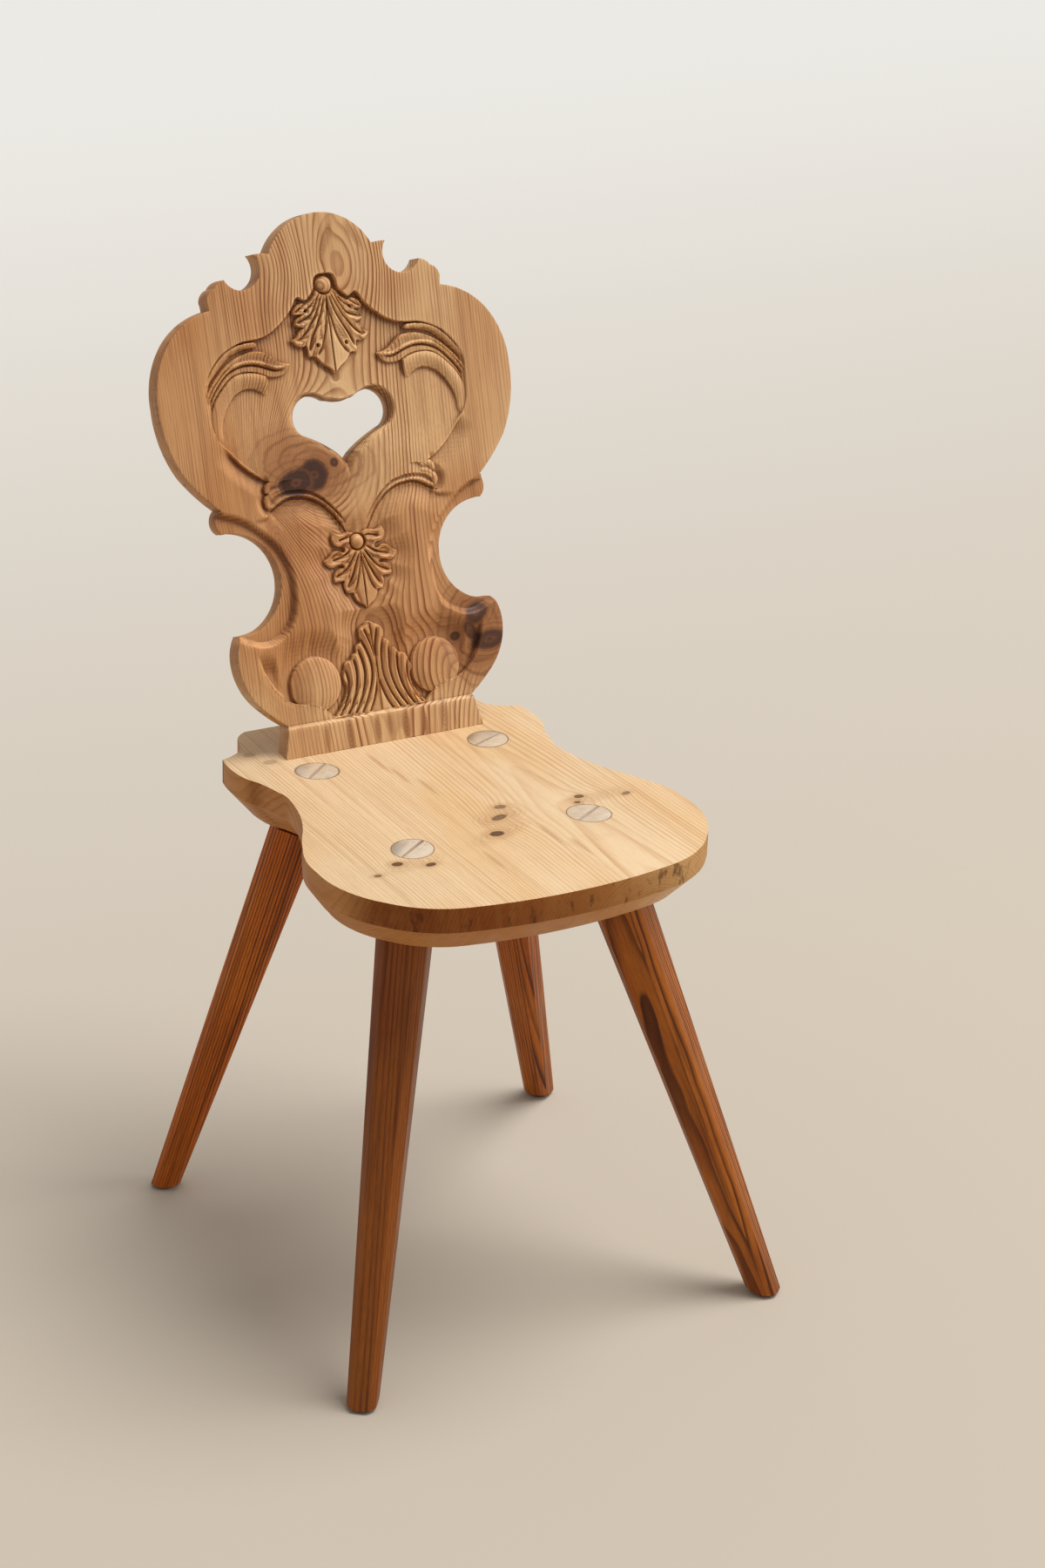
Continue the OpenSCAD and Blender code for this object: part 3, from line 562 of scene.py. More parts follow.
def leaves(h, half, leaf, lower_leaf):
    """The two acanthus leaves, with the upper one's pierced eyes."""
    side, y = half.x, half.y
    top = -0.9 - 1.0 * smoothstep(np.hypot(side, y - 425), 8, 60) * smoothstep(side, 4, 30)
    top = cut_lines(top, half, UPPER_LEAF_RIDGES, UPPER_LEAF_FURROWS, UPPER_LEAF_NICKS)
    for cx, cy, a, b, turn in UPPER_LEAF_EYES:
        c, s = math.cos(math.radians(turn)), math.sin(math.radians(turn))
        dx, dy = side - cx, y - cy
        q = np.hypot((dx * c + dy * s) / a, (dy * c - dx * s) / b)
        top = top - 3.4 * (1 - smoothstep(q, 0.55, 1.15)) + 0.5 * beside(q - 1.45, 0.3)
    h = standing_on(h, np.minimum(top, -0.05), leaf, 0.8)
    top = -1.1 - 0.8 * smoothstep(np.hypot(side, y - 188), 8, 50) * smoothstep(side, 4, 28)
    top = cut_lines(top, half, LOWER_LEAF_RIDGES, LOWER_LEAF_FURROWS, LOWER_LEAF_NICKS)
    return standing_on(h, np.minimum(top, -0.05), lower_leaf, 0.8)


def ribs(fanned):
    """The fan's ridges and furrows, and the tongue at its top."""
    top = np.full(fanned.x.shape, -2.2)
    for points in FAN_RIDGES:
        far, along = fanned.from_line(curve(points), 8)
        top += 1.7 * beside(far, 1.6) * smoothstep(along, -0.05, 0.03)
    for points in FAN_FURROWS:
        far, along = fanned.from_line(curve(points), 8)
        top -= 2.6 * beside(far, 1.1) * smoothstep(along, -0.02, 0.1)
    top += 0.9 * (1 - smoothstep(fanned.x, 3, 10)) * smoothstep(fanned.y, 96, 106)
    return np.minimum(top, -0.3)


def relief(x, y):
    """Height of the carved front, in mm, at nought or below. x and y are arrays."""
    side = np.abs(x)
    whole, half = Field(x, y), Field(side, y)
    leaf, lower_leaf = half.depth_in(UPPER_LEAF, 22), half.depth_in(LOWER_LEAF, 30)
    buds = [half.depth_in(outline, 12) for outline in BUDS]
    fanned = Field(np.abs(x - np.interp(y, [30, 75, 100, 115], [1.3, 1.6, 0.2, -0.8])), y)
    fan = fanned.depth_in(FAN, 30)
    volute = VOLUTE_R - np.hypot(side - VOLUTE[0], y - VOLUTE[1])

    h = bands(upper_ground(half, leaf), half, buds)
    h = np.minimum(h, -5.2 * (1 - smoothstep(-lower_leaf, -6, 28)) ** 1.5)
    h = lower_ground(h, half, np.maximum(fan, np.maximum(volute, -30)))

    # the heart's front edge is chamfered all round
    to_neck, _ = whole.from_line(closed(HEART), 9)
    to_edge, _ = whole.from_line(closed(HEART_EDGE), 9)
    chamfer = CHAMFER * (to_edge / (to_edge + to_neck + 1e-6))
    h = np.where(whole.inside(HEART_EDGE), h - chamfer, h)

    h = feathers(h, half)
    h = leaves(h, half, leaf, lower_leaf)
    for reach, crest in zip(buds, BUD_CREST):
        far, _ = half.from_line(crest, 9)
        h = standing_on(h, -0.2 - 2.6 * np.clip(far / 5, 0, 1) ** 1.7, reach, 0.7)

    # volutes: low domes, whose feet run into the lobes
    dome = -0.3 - 2.9 * np.clip(1 - volute / VOLUTE_R, 0, 1) ** 2.6 - 1.2 * (1 - smoothstep(y, 30, 62))
    h = standing_on(h, dome, volute, 1.2)
    h = standing_on(h, ribs(fanned), fan)

    for cx, cy, radius in BALLS:
        q = np.hypot(x - cx, y - cy)
        moat = -6.2 * (1 - smoothstep(q, radius, radius + 2.4))
        ball = -6.1 + 6 * np.sqrt(np.clip(1 - (q / radius) ** 2, 0, 1))
        h = np.where(q > radius, np.minimum(h, moat), ball)

    # foot block with its bevelled top edge
    h = np.where(y < BLOCK_TOP, -2.6 * smoothstep(y, BLOCK_TOP - 3.6, BLOCK_TOP + 0.2), h)
    return np.minimum(h, 0)


def plank_height(x, y, ease):
    """The relief with its outer arris eased."""
    h = relief(x, y)
    edge, _ = Field(x, y).from_line(closed(BOARD), 3)
    d = np.clip(edge, 0, ease)
    return h - (ease - np.sqrt(np.clip(ease ** 2 - (ease - d) ** 2, 0, None)))


def ring_inside(loop, d):
    """Points at distance d on the wood's side of an outline."""
    ahead, back = np.roll(loop, -1, 0), np.roll(loop, 1, 0)
    way = ahead - back
    way /= np.hypot(way[:, 0], way[:, 1])[:, None] + 1e-9
    out = []
    for sign in (1, -1):
        p = loop + sign * d * np.column_stack([-way[:, 1], way[:, 0]])
        far, _ = Field(p[:, 0], p[:, 1]).from_line(closed(loop), 4)
        ok = in_wood(p[:, 0], p[:, 1]) & (far > 0.85 * d)
        out.append(p[ok])
    return np.vstack(out)


def in_wood(x, y):
    field = Field(x, y)
    return field.inside(BOARD) & ~field.inside(HEART)


def open_loop(points):
    """An outline without doubled points."""
    keep = np.hypot(*(points - np.roll(points, 1, 0)).T) > 0.05
    return points[keep]


SHARP_BEND, SLIGHT_BEND = 0.045, 0.012  # of the relief, between points: they keep a fine or a middling mesh


def front_points(step, ease):
    """Plane points of the front: the outlines first, then rings inside them, then a lattice that is
    fine where the carving is."""
    loops = [open_loop(BOARD), open_loop(HEART)]
    rings = [ring_inside(loop, d) for loop in loops for d in (0.3 * ease, 0.65 * ease, 1.05 * ease)]
    columns, rows = np.arange(-186, 186, step), np.arange(0.6, 496, step)
    gx, gy = np.meshgrid(columns, rows)
    gx = gx + (np.arange(len(rows)) % 2)[:, None] * step / 2
    h = relief(gx.ravel(), gy.ravel()).reshape(gx.shape)
    bend = np.zeros(h.shape)
    bend[1:-1, 1:-1] = np.maximum(np.abs(h[1:-1, 2:] - 2 * h[1:-1, 1:-1] + h[1:-1, :-2]),
                                  np.abs(h[2:, 1:-1] - 2 * h[1:-1, 1:-1] + h[:-2, 1:-1]))
    fine = bend > SHARP_BEND
    kept = fine.copy()
    for dy in (-1, 0, 1):
        for dx in (-1, 0, 1):
            kept |= np.roll(np.roll(fine, dy, 0), dx, 1)
    row, column = np.ogrid[:h.shape[0], :h.shape[1]]
    kept |= (row % 4 == 0) & (column % 4 == 0)
    kept |= (row % 2 == 0) & (column % 2 == 0) & (bend > SLIGHT_BEND)
    px, py = gx[kept], gy[kept]
    field = Field(px, py)
    near = np.minimum(*(field.from_line(closed(loop), 4)[0] for loop in (BOARD, HEART)))
    ok = in_wood(px, py) & (near > 1.05 * ease + 0.35)
    return loops, np.vstack(rings + [np.column_stack([px[ok], py[ok]])])


def on_plank(points):
    """Flat points (x, y, z out of the front), in mm, set in place at the back's lean."""
    p = np.asarray(points, float) / 1000
    s, c = math.sin(LEAN), math.cos(LEAN)
    x, up, out = p.T
    return np.column_stack([x, BACK_FOOT.y + up * s - out * c, BACK_FOOT.z + up * c + out * s])


class CHAIR_OT_back(bpy.types.Operator):
    """Builds the carved back plank, with its foot tenons"""

    bl_idname = "chair.back"
    bl_label = "Carved back"

    def execute(self, context):
        ease = sizes().plank_ease * 1000
        loops, free = front_points(sizes().mesh_step, ease)
        flat, tris = triangulated(loops, free)
        height = np.maximum(plank_height(flat[:, 0], flat[:, 1], ease), -DEEPEST)
        front = np.column_stack([flat, height])
        flat, rear_tris = triangulated(loops, np.vstack([ring_inside(loop, 1.05 * ease) for loop in loops]))
        depth = np.full(len(flat), -BACK_T)
        depth[:sum(len(loop) for loop in loops)] += 0.7 * ease
        points = np.vstack([front, np.column_stack([flat, depth])])

        start, at = len(front), 0
        faces = tris.tolist() + (rear_tris[:, ::-1] + start).tolist()
        for loop in loops:
            i = at + np.arange(len(loop))
            j = np.roll(i, -1)
            quads = np.column_stack([i, start + i, start + j, j])
            faces += (quads if area(loop) > 0 else quads[:, ::-1]).tolist()
            at += len(loop)
        mesh = bpy.data.meshes.new("carved_back")
        mesh.from_pydata(on_plank(points).tolist(), [], faces)
        mesh.update()
        # the hollow attribute darkens the carving's recesses and lightens its crests: finish and wear, with
        # painted shade, painted shadow and painted highlight
        store(mesh, "hollow", finish_shade_and_highlight(points, start))
        obj = bpy.data.objects.new("carved_back", mesh)
        context.scene.collection.objects.link(obj)
        finish_piece(obj, back_wood(), "back_pine", "back_board")
        bpy.ops.object.shade_smooth_by_angle(angle=math.radians(60))
        for side in (-1, 1):
            tenon(side)
        return {"FINISHED"}


def triangulated(loops, free):
    """The outlines' and the free points joined into triangles that fill the wood."""
    flat = np.vstack(loops + [free])
    edges, at = [], 0
    for loop in loops:
        n = len(loop)
        edges += [(at + i, at + (i + 1) % n) for i in range(n)]
        at += n
    made = delaunay_2d_cdt([Vector(p) for p in flat.tolist()], edges, [], 0, 1e-6, False)
    if len(made[0]) != len(flat):
        raise RuntimeError("an outline of the back crosses itself")
    points = np.array([tuple(v) for v in made[0]])
    return points, facing_up(points, np.array(made[2]))


def facing_up(points, tris):
    """The triangles that lie in the wood, turned counter-clockwise."""
    a, b, c = (points[tris[:, i]] for i in range(3))
    middle = (a + b + c) / 3
    turned = (b[:, 0] - a[:, 0]) * (c[:, 1] - a[:, 1]) - (b[:, 1] - a[:, 1]) * (c[:, 0] - a[:, 0]) < 0
    tris[turned] = tris[turned][:, ::-1]
    return tris[in_wood(middle[:, 0], middle[:, 1])]


def area(p):
    q = np.roll(p, -1, 0)
    return 0.5 * float(np.sum(p[:, 0] * q[:, 1] - q[:, 0] * p[:, 1]))


def finish_shade_and_highlight(points, front_count):
    """How far each front point lies below its surroundings and in the shadow of what stands beside it, from
    -1 on a crest to 1: finish in the recesses and wear on the crests, with painted shade, painted shadow and
    painted highlight.
    """
    x, y, z = points[:front_count].T
    i, j = (x + 190).astype(int), y.astype(int)
    total, count = np.zeros((381, 501)), np.zeros((381, 501))
    np.add.at(total, (i, j), z)
    np.add.at(count, (i, j), 1)
    found = np.zeros(front_count)
    for blur in range(1, 10):
        total, count = (sum(np.roll(np.roll(g, a, 0), b, 1) for a in (-1, 0, 1) for b in (-1, 0, 1)) / 9
                        for g in (total, count))
        if blur in (2, 9):  # against what lies near, then against the wide surroundings: darker in recesses, partly finish gathered there and partly painted shade; lighter on crests, partly wear and partly a painted highlight
            around = total / np.maximum(count, 1e-9)
            found += np.clip((around[i, j] - z) / (0.9 if blur == 2 else 3.0), -1, 1) * 0.34
        if blur == 2:  # a painted shadow, cast by what stands on the lit side, up and to the right
            i2, j2 = np.clip(i + 3, 0, 380), np.clip(j + 2, 0, 500)
            beyond = np.where(count[i2, j2] > 0.3, around[i2, j2], z)
            found += np.clip((beyond - z) / 2.0, -1, 1) * 0.75
    return np.concatenate([np.clip(found, -1, 1), np.zeros(len(points) - front_count)])


def store(mesh, name, values):
    attribute = mesh.attributes.new(name, "FLOAT", "POINT")
    attribute.data.foreach_set("value", np.asarray(values, np.float32))


def tenon(side):
    """One foot tenon of the back, leaning through the seat."""
    deselect()
    bpy.ops.mesh.primitive_cube_add(size=1)
    obj = context_object("back_tenon_right" if side > 0 else "back_tenon_left")
    width, thick, drop = 0.042, BACK_T / 1000, 0.094 / math.cos(LEAN) + 0.02
    top = 0.004
    turn = Matrix.Translation(BACK_FOOT) @ Euler(BACK_TURN).to_matrix().to_4x4()
    place = Matrix.Translation((side * 0.047, (top - drop) / 2, -thick / 2))
    obj.data.transform(turn @ place @ Matrix.Diagonal((width, drop + top, thick, 1)))
    bpy.ops.object.mode_set(mode="EDIT")
    for height, cleared in ((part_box("back_board")[0].z, "clear_inner"), (SEAT_TOP, "clear_outer")):
        bpy.ops.mesh.select_all(action="SELECT")
        bpy.ops.mesh.bisect(plane_co=(0, 0, height), plane_no=(0, 0, 1), use_fill=True, **{cleared: True})
    bpy.ops.object.mode_set(mode="OBJECT")
    cut_with_key(obj, side)
    ease_edges(obj, lambda p, angle: angle > 40 and p.z < SEAT_LOW.z - 0.004, 0.0008)
    finish_piece(obj, back_wood(), "back_pine")


def context_object(name):
    obj = bpy.context.object
    obj.name = name
    obj.data.name = name
    return obj


def cut_with_key(obj, side):
    """Cuts the key's slot right through a tenon, as the frame's key lies, and a little above it."""
    node = "key_right" if side > 0 else "key_left"
    low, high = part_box(node)
    deselect()
    bpy.ops.mesh.primitive_cube_add(size=1)
    cutter = bpy.context.object
    rise = 0.003
    cutter.data.transform(Matrix.Translation((low + high + Vector((0, 0, rise))) / 2)
                          @ Matrix.Diagonal((high.x - low.x, high.y - low.y, high.z - low.z + rise, 1)))
    for v in cutter.data.vertices:
        if v.co.z < (low.z + high.z) / 2 and v.co.y < (low.y + high.y) / 2:
            v.co.z = high.z - 0.014
    activate(obj)
    cut = obj.modifiers.new("slot", "BOOLEAN")
    cut.operation, cut.solver, cut.object = "DIFFERENCE", "EXACT", cutter
    bpy.ops.object.modifier_apply(modifier=cut.name)
    bpy.data.objects.remove(cutter)


# ---- Seat, legs, wedges and keys ------------------------------------------------------------


class CHAIR_OT_seat(bpy.types.Operator):
    """Builds the seat plank with eased edges"""

    bl_idname = "chair.seat"
    bl_label = "Seat"

    def execute(self, context):
        obj = copy_of("seat", "seat_plank")
        holes = [Vector((sx * TENON_X, SEAT_FRONT + y, 0)) for sx in (-1, 1) for y in TENON_Y.values()]

        def rim(p, angle):
            """The outline's edges, without those round the leg bores and the back's mortises."""
            heights = (SEAT_TOP, SEAT_LOW.z, SEAT_TOP - SEAT_BAND)
            if angle < 20 or min(abs(p.z - z) for z in heights) > 0.0005:
                return False
            if any((Vector((p.x, p.y, 0)) - h).length < 0.036 for h in holes):
                return False
            return not (abs(p.x) < 0.08 and 0.32 < p.y - SEAT_FRONT < 0.42)

        ease_edges(obj, rim, sizes().seat_ease, 3)
        finish_piece(obj, seat_wood(), "seat_pine", "seat")
        return {"FINISHED"}


class CHAIR_OT_legs(bpy.types.Operator):
    """Builds the four splayed legs with eased arrises and pale tenon ends"""

    bl_idname = "chair.legs"
    bl_label = "Legs"

    def execute(self, context):
        for node in LEGS:
            obj = copy_of(node, f"{node}_shaped")
            ease_edges(obj, lambda p, angle: angle > 24 and p.z < SEAT_LOW.z - 0.0122, sizes().leg_ease)
            finish_piece(obj, leg_wood(node), "leg_wood", node)
            obj.data.materials.append(tenon_end(node))
            for face in obj.data.polygons:
                if face.center.z > SEAT_TOP - 0.0005 and face.normal.z > 0.9:
                    face.material_index = 1
        return {"FINISHED"}


class CHAIR_OT_wedges(bpy.types.Operator):
    """Builds the wedges in the leg tenons"""

    bl_idname = "chair.wedges"
    bl_label = "Wedges"

    def execute(self, context):
        material = wedge_wood()
        for node in sorted(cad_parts):
            if node.startswith("wedge_"):
                obj = copy_of(node, f"{node}_shaped")
                finish_piece(obj, material, "wedge_wood", node)
        return {"FINISHED"}


class CHAIR_OT_keys(bpy.types.Operator):
    """Builds the tapered keys under the seat"""

    bl_idname = "chair.keys"
    bl_label = "Keys"

    def execute(self, context):
        for node in ("key_left", "key_right"):
            obj = copy_of(node, f"{node}_shaped")
            ease_edges(obj, lambda p, angle: angle > 40 and p.z < SEAT_LOW.z - 0.001, 0.0012)
            finish_piece(obj, key_wood(), "back_pine", node)
        return {"FINISHED"}


# ---- Wood ----------------------------------------------------------------------------------


class Nodes:
    """Adds nodes to a material and joins them."""

    def __init__(self, name):
        self.material = bpy.data.materials.new(name)
        self.material.use_nodes = True
        self.tree = self.material.node_tree
        self.tree.nodes.clear()

    def add(self, kind, inputs=None, **settings):
        node = self.tree.nodes.new(kind)
        for key, value in settings.items():
            setattr(node, key, value)
        for key, value in (inputs or {}).items():
            if isinstance(value, bpy.types.NodeSocket):
                self.tree.links.new(value, node.inputs[key])
            else:
                node.inputs[key].default_value = value
        return node

    def mapped(self, vector, location, turn, scale):
        """A point in the frame that a place, a turn and a scale give."""
        return self.add("ShaderNodeMapping", {"Vector": vector, "Location": location, "Rotation": turn,
                                              "Scale": scale}, vector_type="TEXTURE").outputs[0]

    def math(self, operation, a, b=0.0, c=0.0, clamp=False):
        return self.add("ShaderNodeMath", {0: a, 1: b, 2: c}, operation=operation, use_clamp=clamp).outputs[0]

    def vector(self, operation, a, b=(0, 0, 0)):
        node = self.add("ShaderNodeVectorMath", {0: a, 1: b}, operation=operation)
        return node.outputs["Value"] if operation in ("LENGTH", "DOT_PRODUCT") else node.outputs["Vector"]

    def noise(self, vector, stretch, detail=2.0, rough=0.5, offset=(0, 0, 0)):
        moved = self.add("ShaderNodeMapping", {"Vector": vector, "Location": offset, "Scale": stretch})
        return self.add("ShaderNodeTexNoise", {"Vector": moved.outputs[0], "Scale": 1.0, "Detail": detail,
                                               "Roughness": rough}).outputs["Fac"]

    def finish(self, colour, rough, shine, normal=None):
        inputs = {"Base Color": colour, "Roughness": rough}
        if normal is not None:
            inputs["Normal"] = normal
        shader = self.add("ShaderNodeBsdfPrincipled", inputs)
        shader.inputs["Specular IOR Level"].default_value = shine
        self.tree.links.new(shader.outputs[0], self.add("ShaderNodeOutputMaterial").inputs[0])

    def step(self, value, low, high, out_low=0.0, out_high=1.0):
        inputs = {"Value": value, "From Min": low, "From Max": high, "To Min": out_low, "To Max": out_high}
        return self.add("ShaderNodeMapRange", inputs, interpolation_type="SMOOTHSTEP").outputs[0]

    def mix(self, factor, a, b, blend="MIX"):
        def colour(v):
            return (*v, 1.0) if isinstance(v, tuple) else v
        inputs = {0: factor, 6: colour(a), 7: colour(b)}
        return self.add("ShaderNodeMix", inputs, data_type="RGBA", blend_type=blend).outputs[2]


KNOT_HEART = ((0.052, 0.015, 0.004), (0.105, 0.032, 0.009))  # dark and lighter rings of a knot
SUNK_FINISH_AND_SHADE_TONE, CREST_WEAR_AND_HIGHLIGHT_TONE = (0.34, 0.2, 0.1), (1.32, 1.38, 1.45)  # over the wood: in recesses, finish gathered there and painted shade; on crests, wear and a painted highlight
RIM_TONE = (0.10, 0.055, 0.03)  # dark line round a tenon


def placed(n, p, x, y, rx, ry, turn, depth):
    """The point p seen from an oval at x, y, in the oval's own radii."""
    return n.mapped(p, (x, y, 0), (0, 0, math.radians(turn)), (rx, ry, depth))


def shade(n, factor, colour, tone):
    """The colour multiplied by a tone, by a factor."""
    return n.mix(factor, colour, n.mix(1.0, colour, tone, "MULTIPLY"))


def growth_lines(n, p, off, pith, tilt, spacing, wander, lines, knots, swell, fade, bold):
    """Strength of the late wood lines, 0 to 1, and each knot's distance field."""
    axes = n.add("ShaderNodeSeparateXYZ", {0: p}).outputs
    x, y, z = axes[0], axes[1], axes[2]
    sway = n.math("MULTIPLY_ADD", n.noise(p, (0.006, 0.0022, 0.006), 2.0, 0.45, off), 2 * wander, -wander)
    sway2 = n.math("MULTIPLY_ADD", n.noise(p, (0.02, 0.009, 0.02), 2.0, 0.5, (off[1], off[2], off[0])),
                   0.34 * wander, -0.17 * wander)
    dx = n.math("ADD", n.math("SUBTRACT", x, pith[0]), sway)
    dz = n.math("SUBTRACT", z, pith[1])
    dz = n.math("SUBTRACT", dz, n.math("MULTIPLY", y, tilt)) if tilt else dz
    r = n.math("SQRT", n.math("ADD", n.math("MULTIPLY", dx, dx), n.math("MULTIPLY", dz, dz)))
    r = n.math("ADD", r, sway2)
    near = []
    for kx, ky, rx, ry, turn, _, _ in knots:
        q = placed(n, p, kx, ky, rx, ry, turn, 60.0)
        near.append(n.vector("LENGTH", q))
        spread = n.vector("LENGTH", n.vector("MULTIPLY", q, (0.45, 0.26, 0.2)))
        bulge = n.math("EXPONENT", n.math("MULTIPLY", n.math("MULTIPLY", spread, spread), -1.0))
        r = n.math("ADD", r, n.math("MULTIPLY", bulge, -swell * rx))
    widths = n.add("ShaderNodeTexNoise", {"W": n.math("MULTIPLY", r, 0.045), "Scale": 1.0, "Detail": 1.0},
                   noise_dimensions="1D").outputs["Fac"]
    phase = n.math("ADD", n.math("DIVIDE", r, spacing), n.math("MULTIPLY", widths, 3.0))
    part = n.math("FRACT", phase)
    ring = n.math("FLOOR", phase)
    strength = n.step(n.add("ShaderNodeTexWhiteNoise", {"W": ring}, noise_dimensions="1D").outputs["Value"],
                      0.0, 1.0, 0.5, 1.0)
    line = n.math("MULTIPLY", n.math("POWER", n.step(part, 0.25, 0.9), 1.6), n.step(part, 0.9, 1.0, 1.0, 0.0))
    faded = n.step(n.noise(p, (0.03, 0.006, 0.03), 2.0, 0.5, (off[2], off[0], off[1])), 0.38, 0.6, fade, 1.0)
    flat_sawn = n.step(n.math("DIVIDE", n.math("ABSOLUTE", dx), r), 0.0, 0.25, 0.5, 1.0)
    line = n.math("MULTIPLY", n.math("MULTIPLY", line, strength), n.math("MULTIPLY", faded, lines))
    line = n.math("MULTIPLY", line, n.math("MULTIPLY", flat_sawn, bold(n, x, y) if bold else 1.0), clamp=True)
    return line, near, x, y


def with_knots(n, p, off, colour, late, knots, near):
    """Brown rings round the knots first, then their dark hearts."""
    rugged = n.math("MULTIPLY_ADD", n.noise(p, (0.07, 0.07, 0.01), 3.0, 0.6, off), 0.5, -0.3)
    near = [n.math("ADD", d, rugged) for d in near]
    for d, (*_, halo) in zip(near, knots):
        if halo:
            about = n.step(d, 0.9, 2.9, halo, 0.0)
            rings = n.step(n.math("SINE", n.math("MULTIPLY", d, 13.0)), 0.2, 0.95, 0.0, 0.75)
            colour = n.mix(about, colour, (late[0] * 1.1, late[1] * 1.3, late[2] * 1.6))
            colour = n.mix(n.math("MULTIPLY", rings, about), colour, tuple(0.45 * a for a in late))
    for d, (*_, dark, _) in zip(near, knots):
        if dark:
            rings = n.step(n.math("SINE", n.math("MULTIPLY", d, 9.0)), 0.3, 0.95)
            colour = n.mix(n.step(d, 0.85, 1.06, dark, 0.0), colour, n.mix(rings, *KNOT_HEART))
    return colour


def with_end_grain_and_painted_light(n, p, off, x, normal, upright, colour, grain, tones, spread):
    """End grain where the surface faces along the grain, cracked and barred, multiplied by a tone that runs
    from the left's to the right's. Besides the end grain's own colour the tones carry painted light: painted
    shade on the seat's left and painted light on its right, a painted highlight on the back's end faces.
    """
    facing = n.vector("DOT_PRODUCT", normal, tuple(grain))
    end = n.math("MULTIPLY", n.step(n.math("ABSOLUTE", facing), 0.2, 0.65),
                 n.step(n.math("ABSOLUTE", upright), spread[0], spread[1], 1.0, 0.0))
    patches = n.noise(p, (0.03, 0.03, 0.012), 3.0, 0.6, off)
    # painted shade at the left and painted light at the right, as the tone runs across
    tone = n.mix(n.step(n.math("MULTIPLY_ADD", patches, 90.0, x), -90.0, 190.0), *tones)
    cracks = n.step(n.noise(p, (0.07, 0.07, 0.035), 4.0, 0.65, off), 0.56, 0.66, 0.0, 0.7)
    tone = n.mix(cracks, tone, tuple(0.28 * a for a in tones[0]))
    bars = n.step(n.noise(p, (0.11, 0.02, 0.014), 3.0, 0.6, (off[2], off[0], off[1])), 0.42, 0.66, 0.0, 0.5)
    tone = n.mix(bars, tone, n.mix(0.5, tone, tones[1]))
    return shade(n, end, colour, tone)


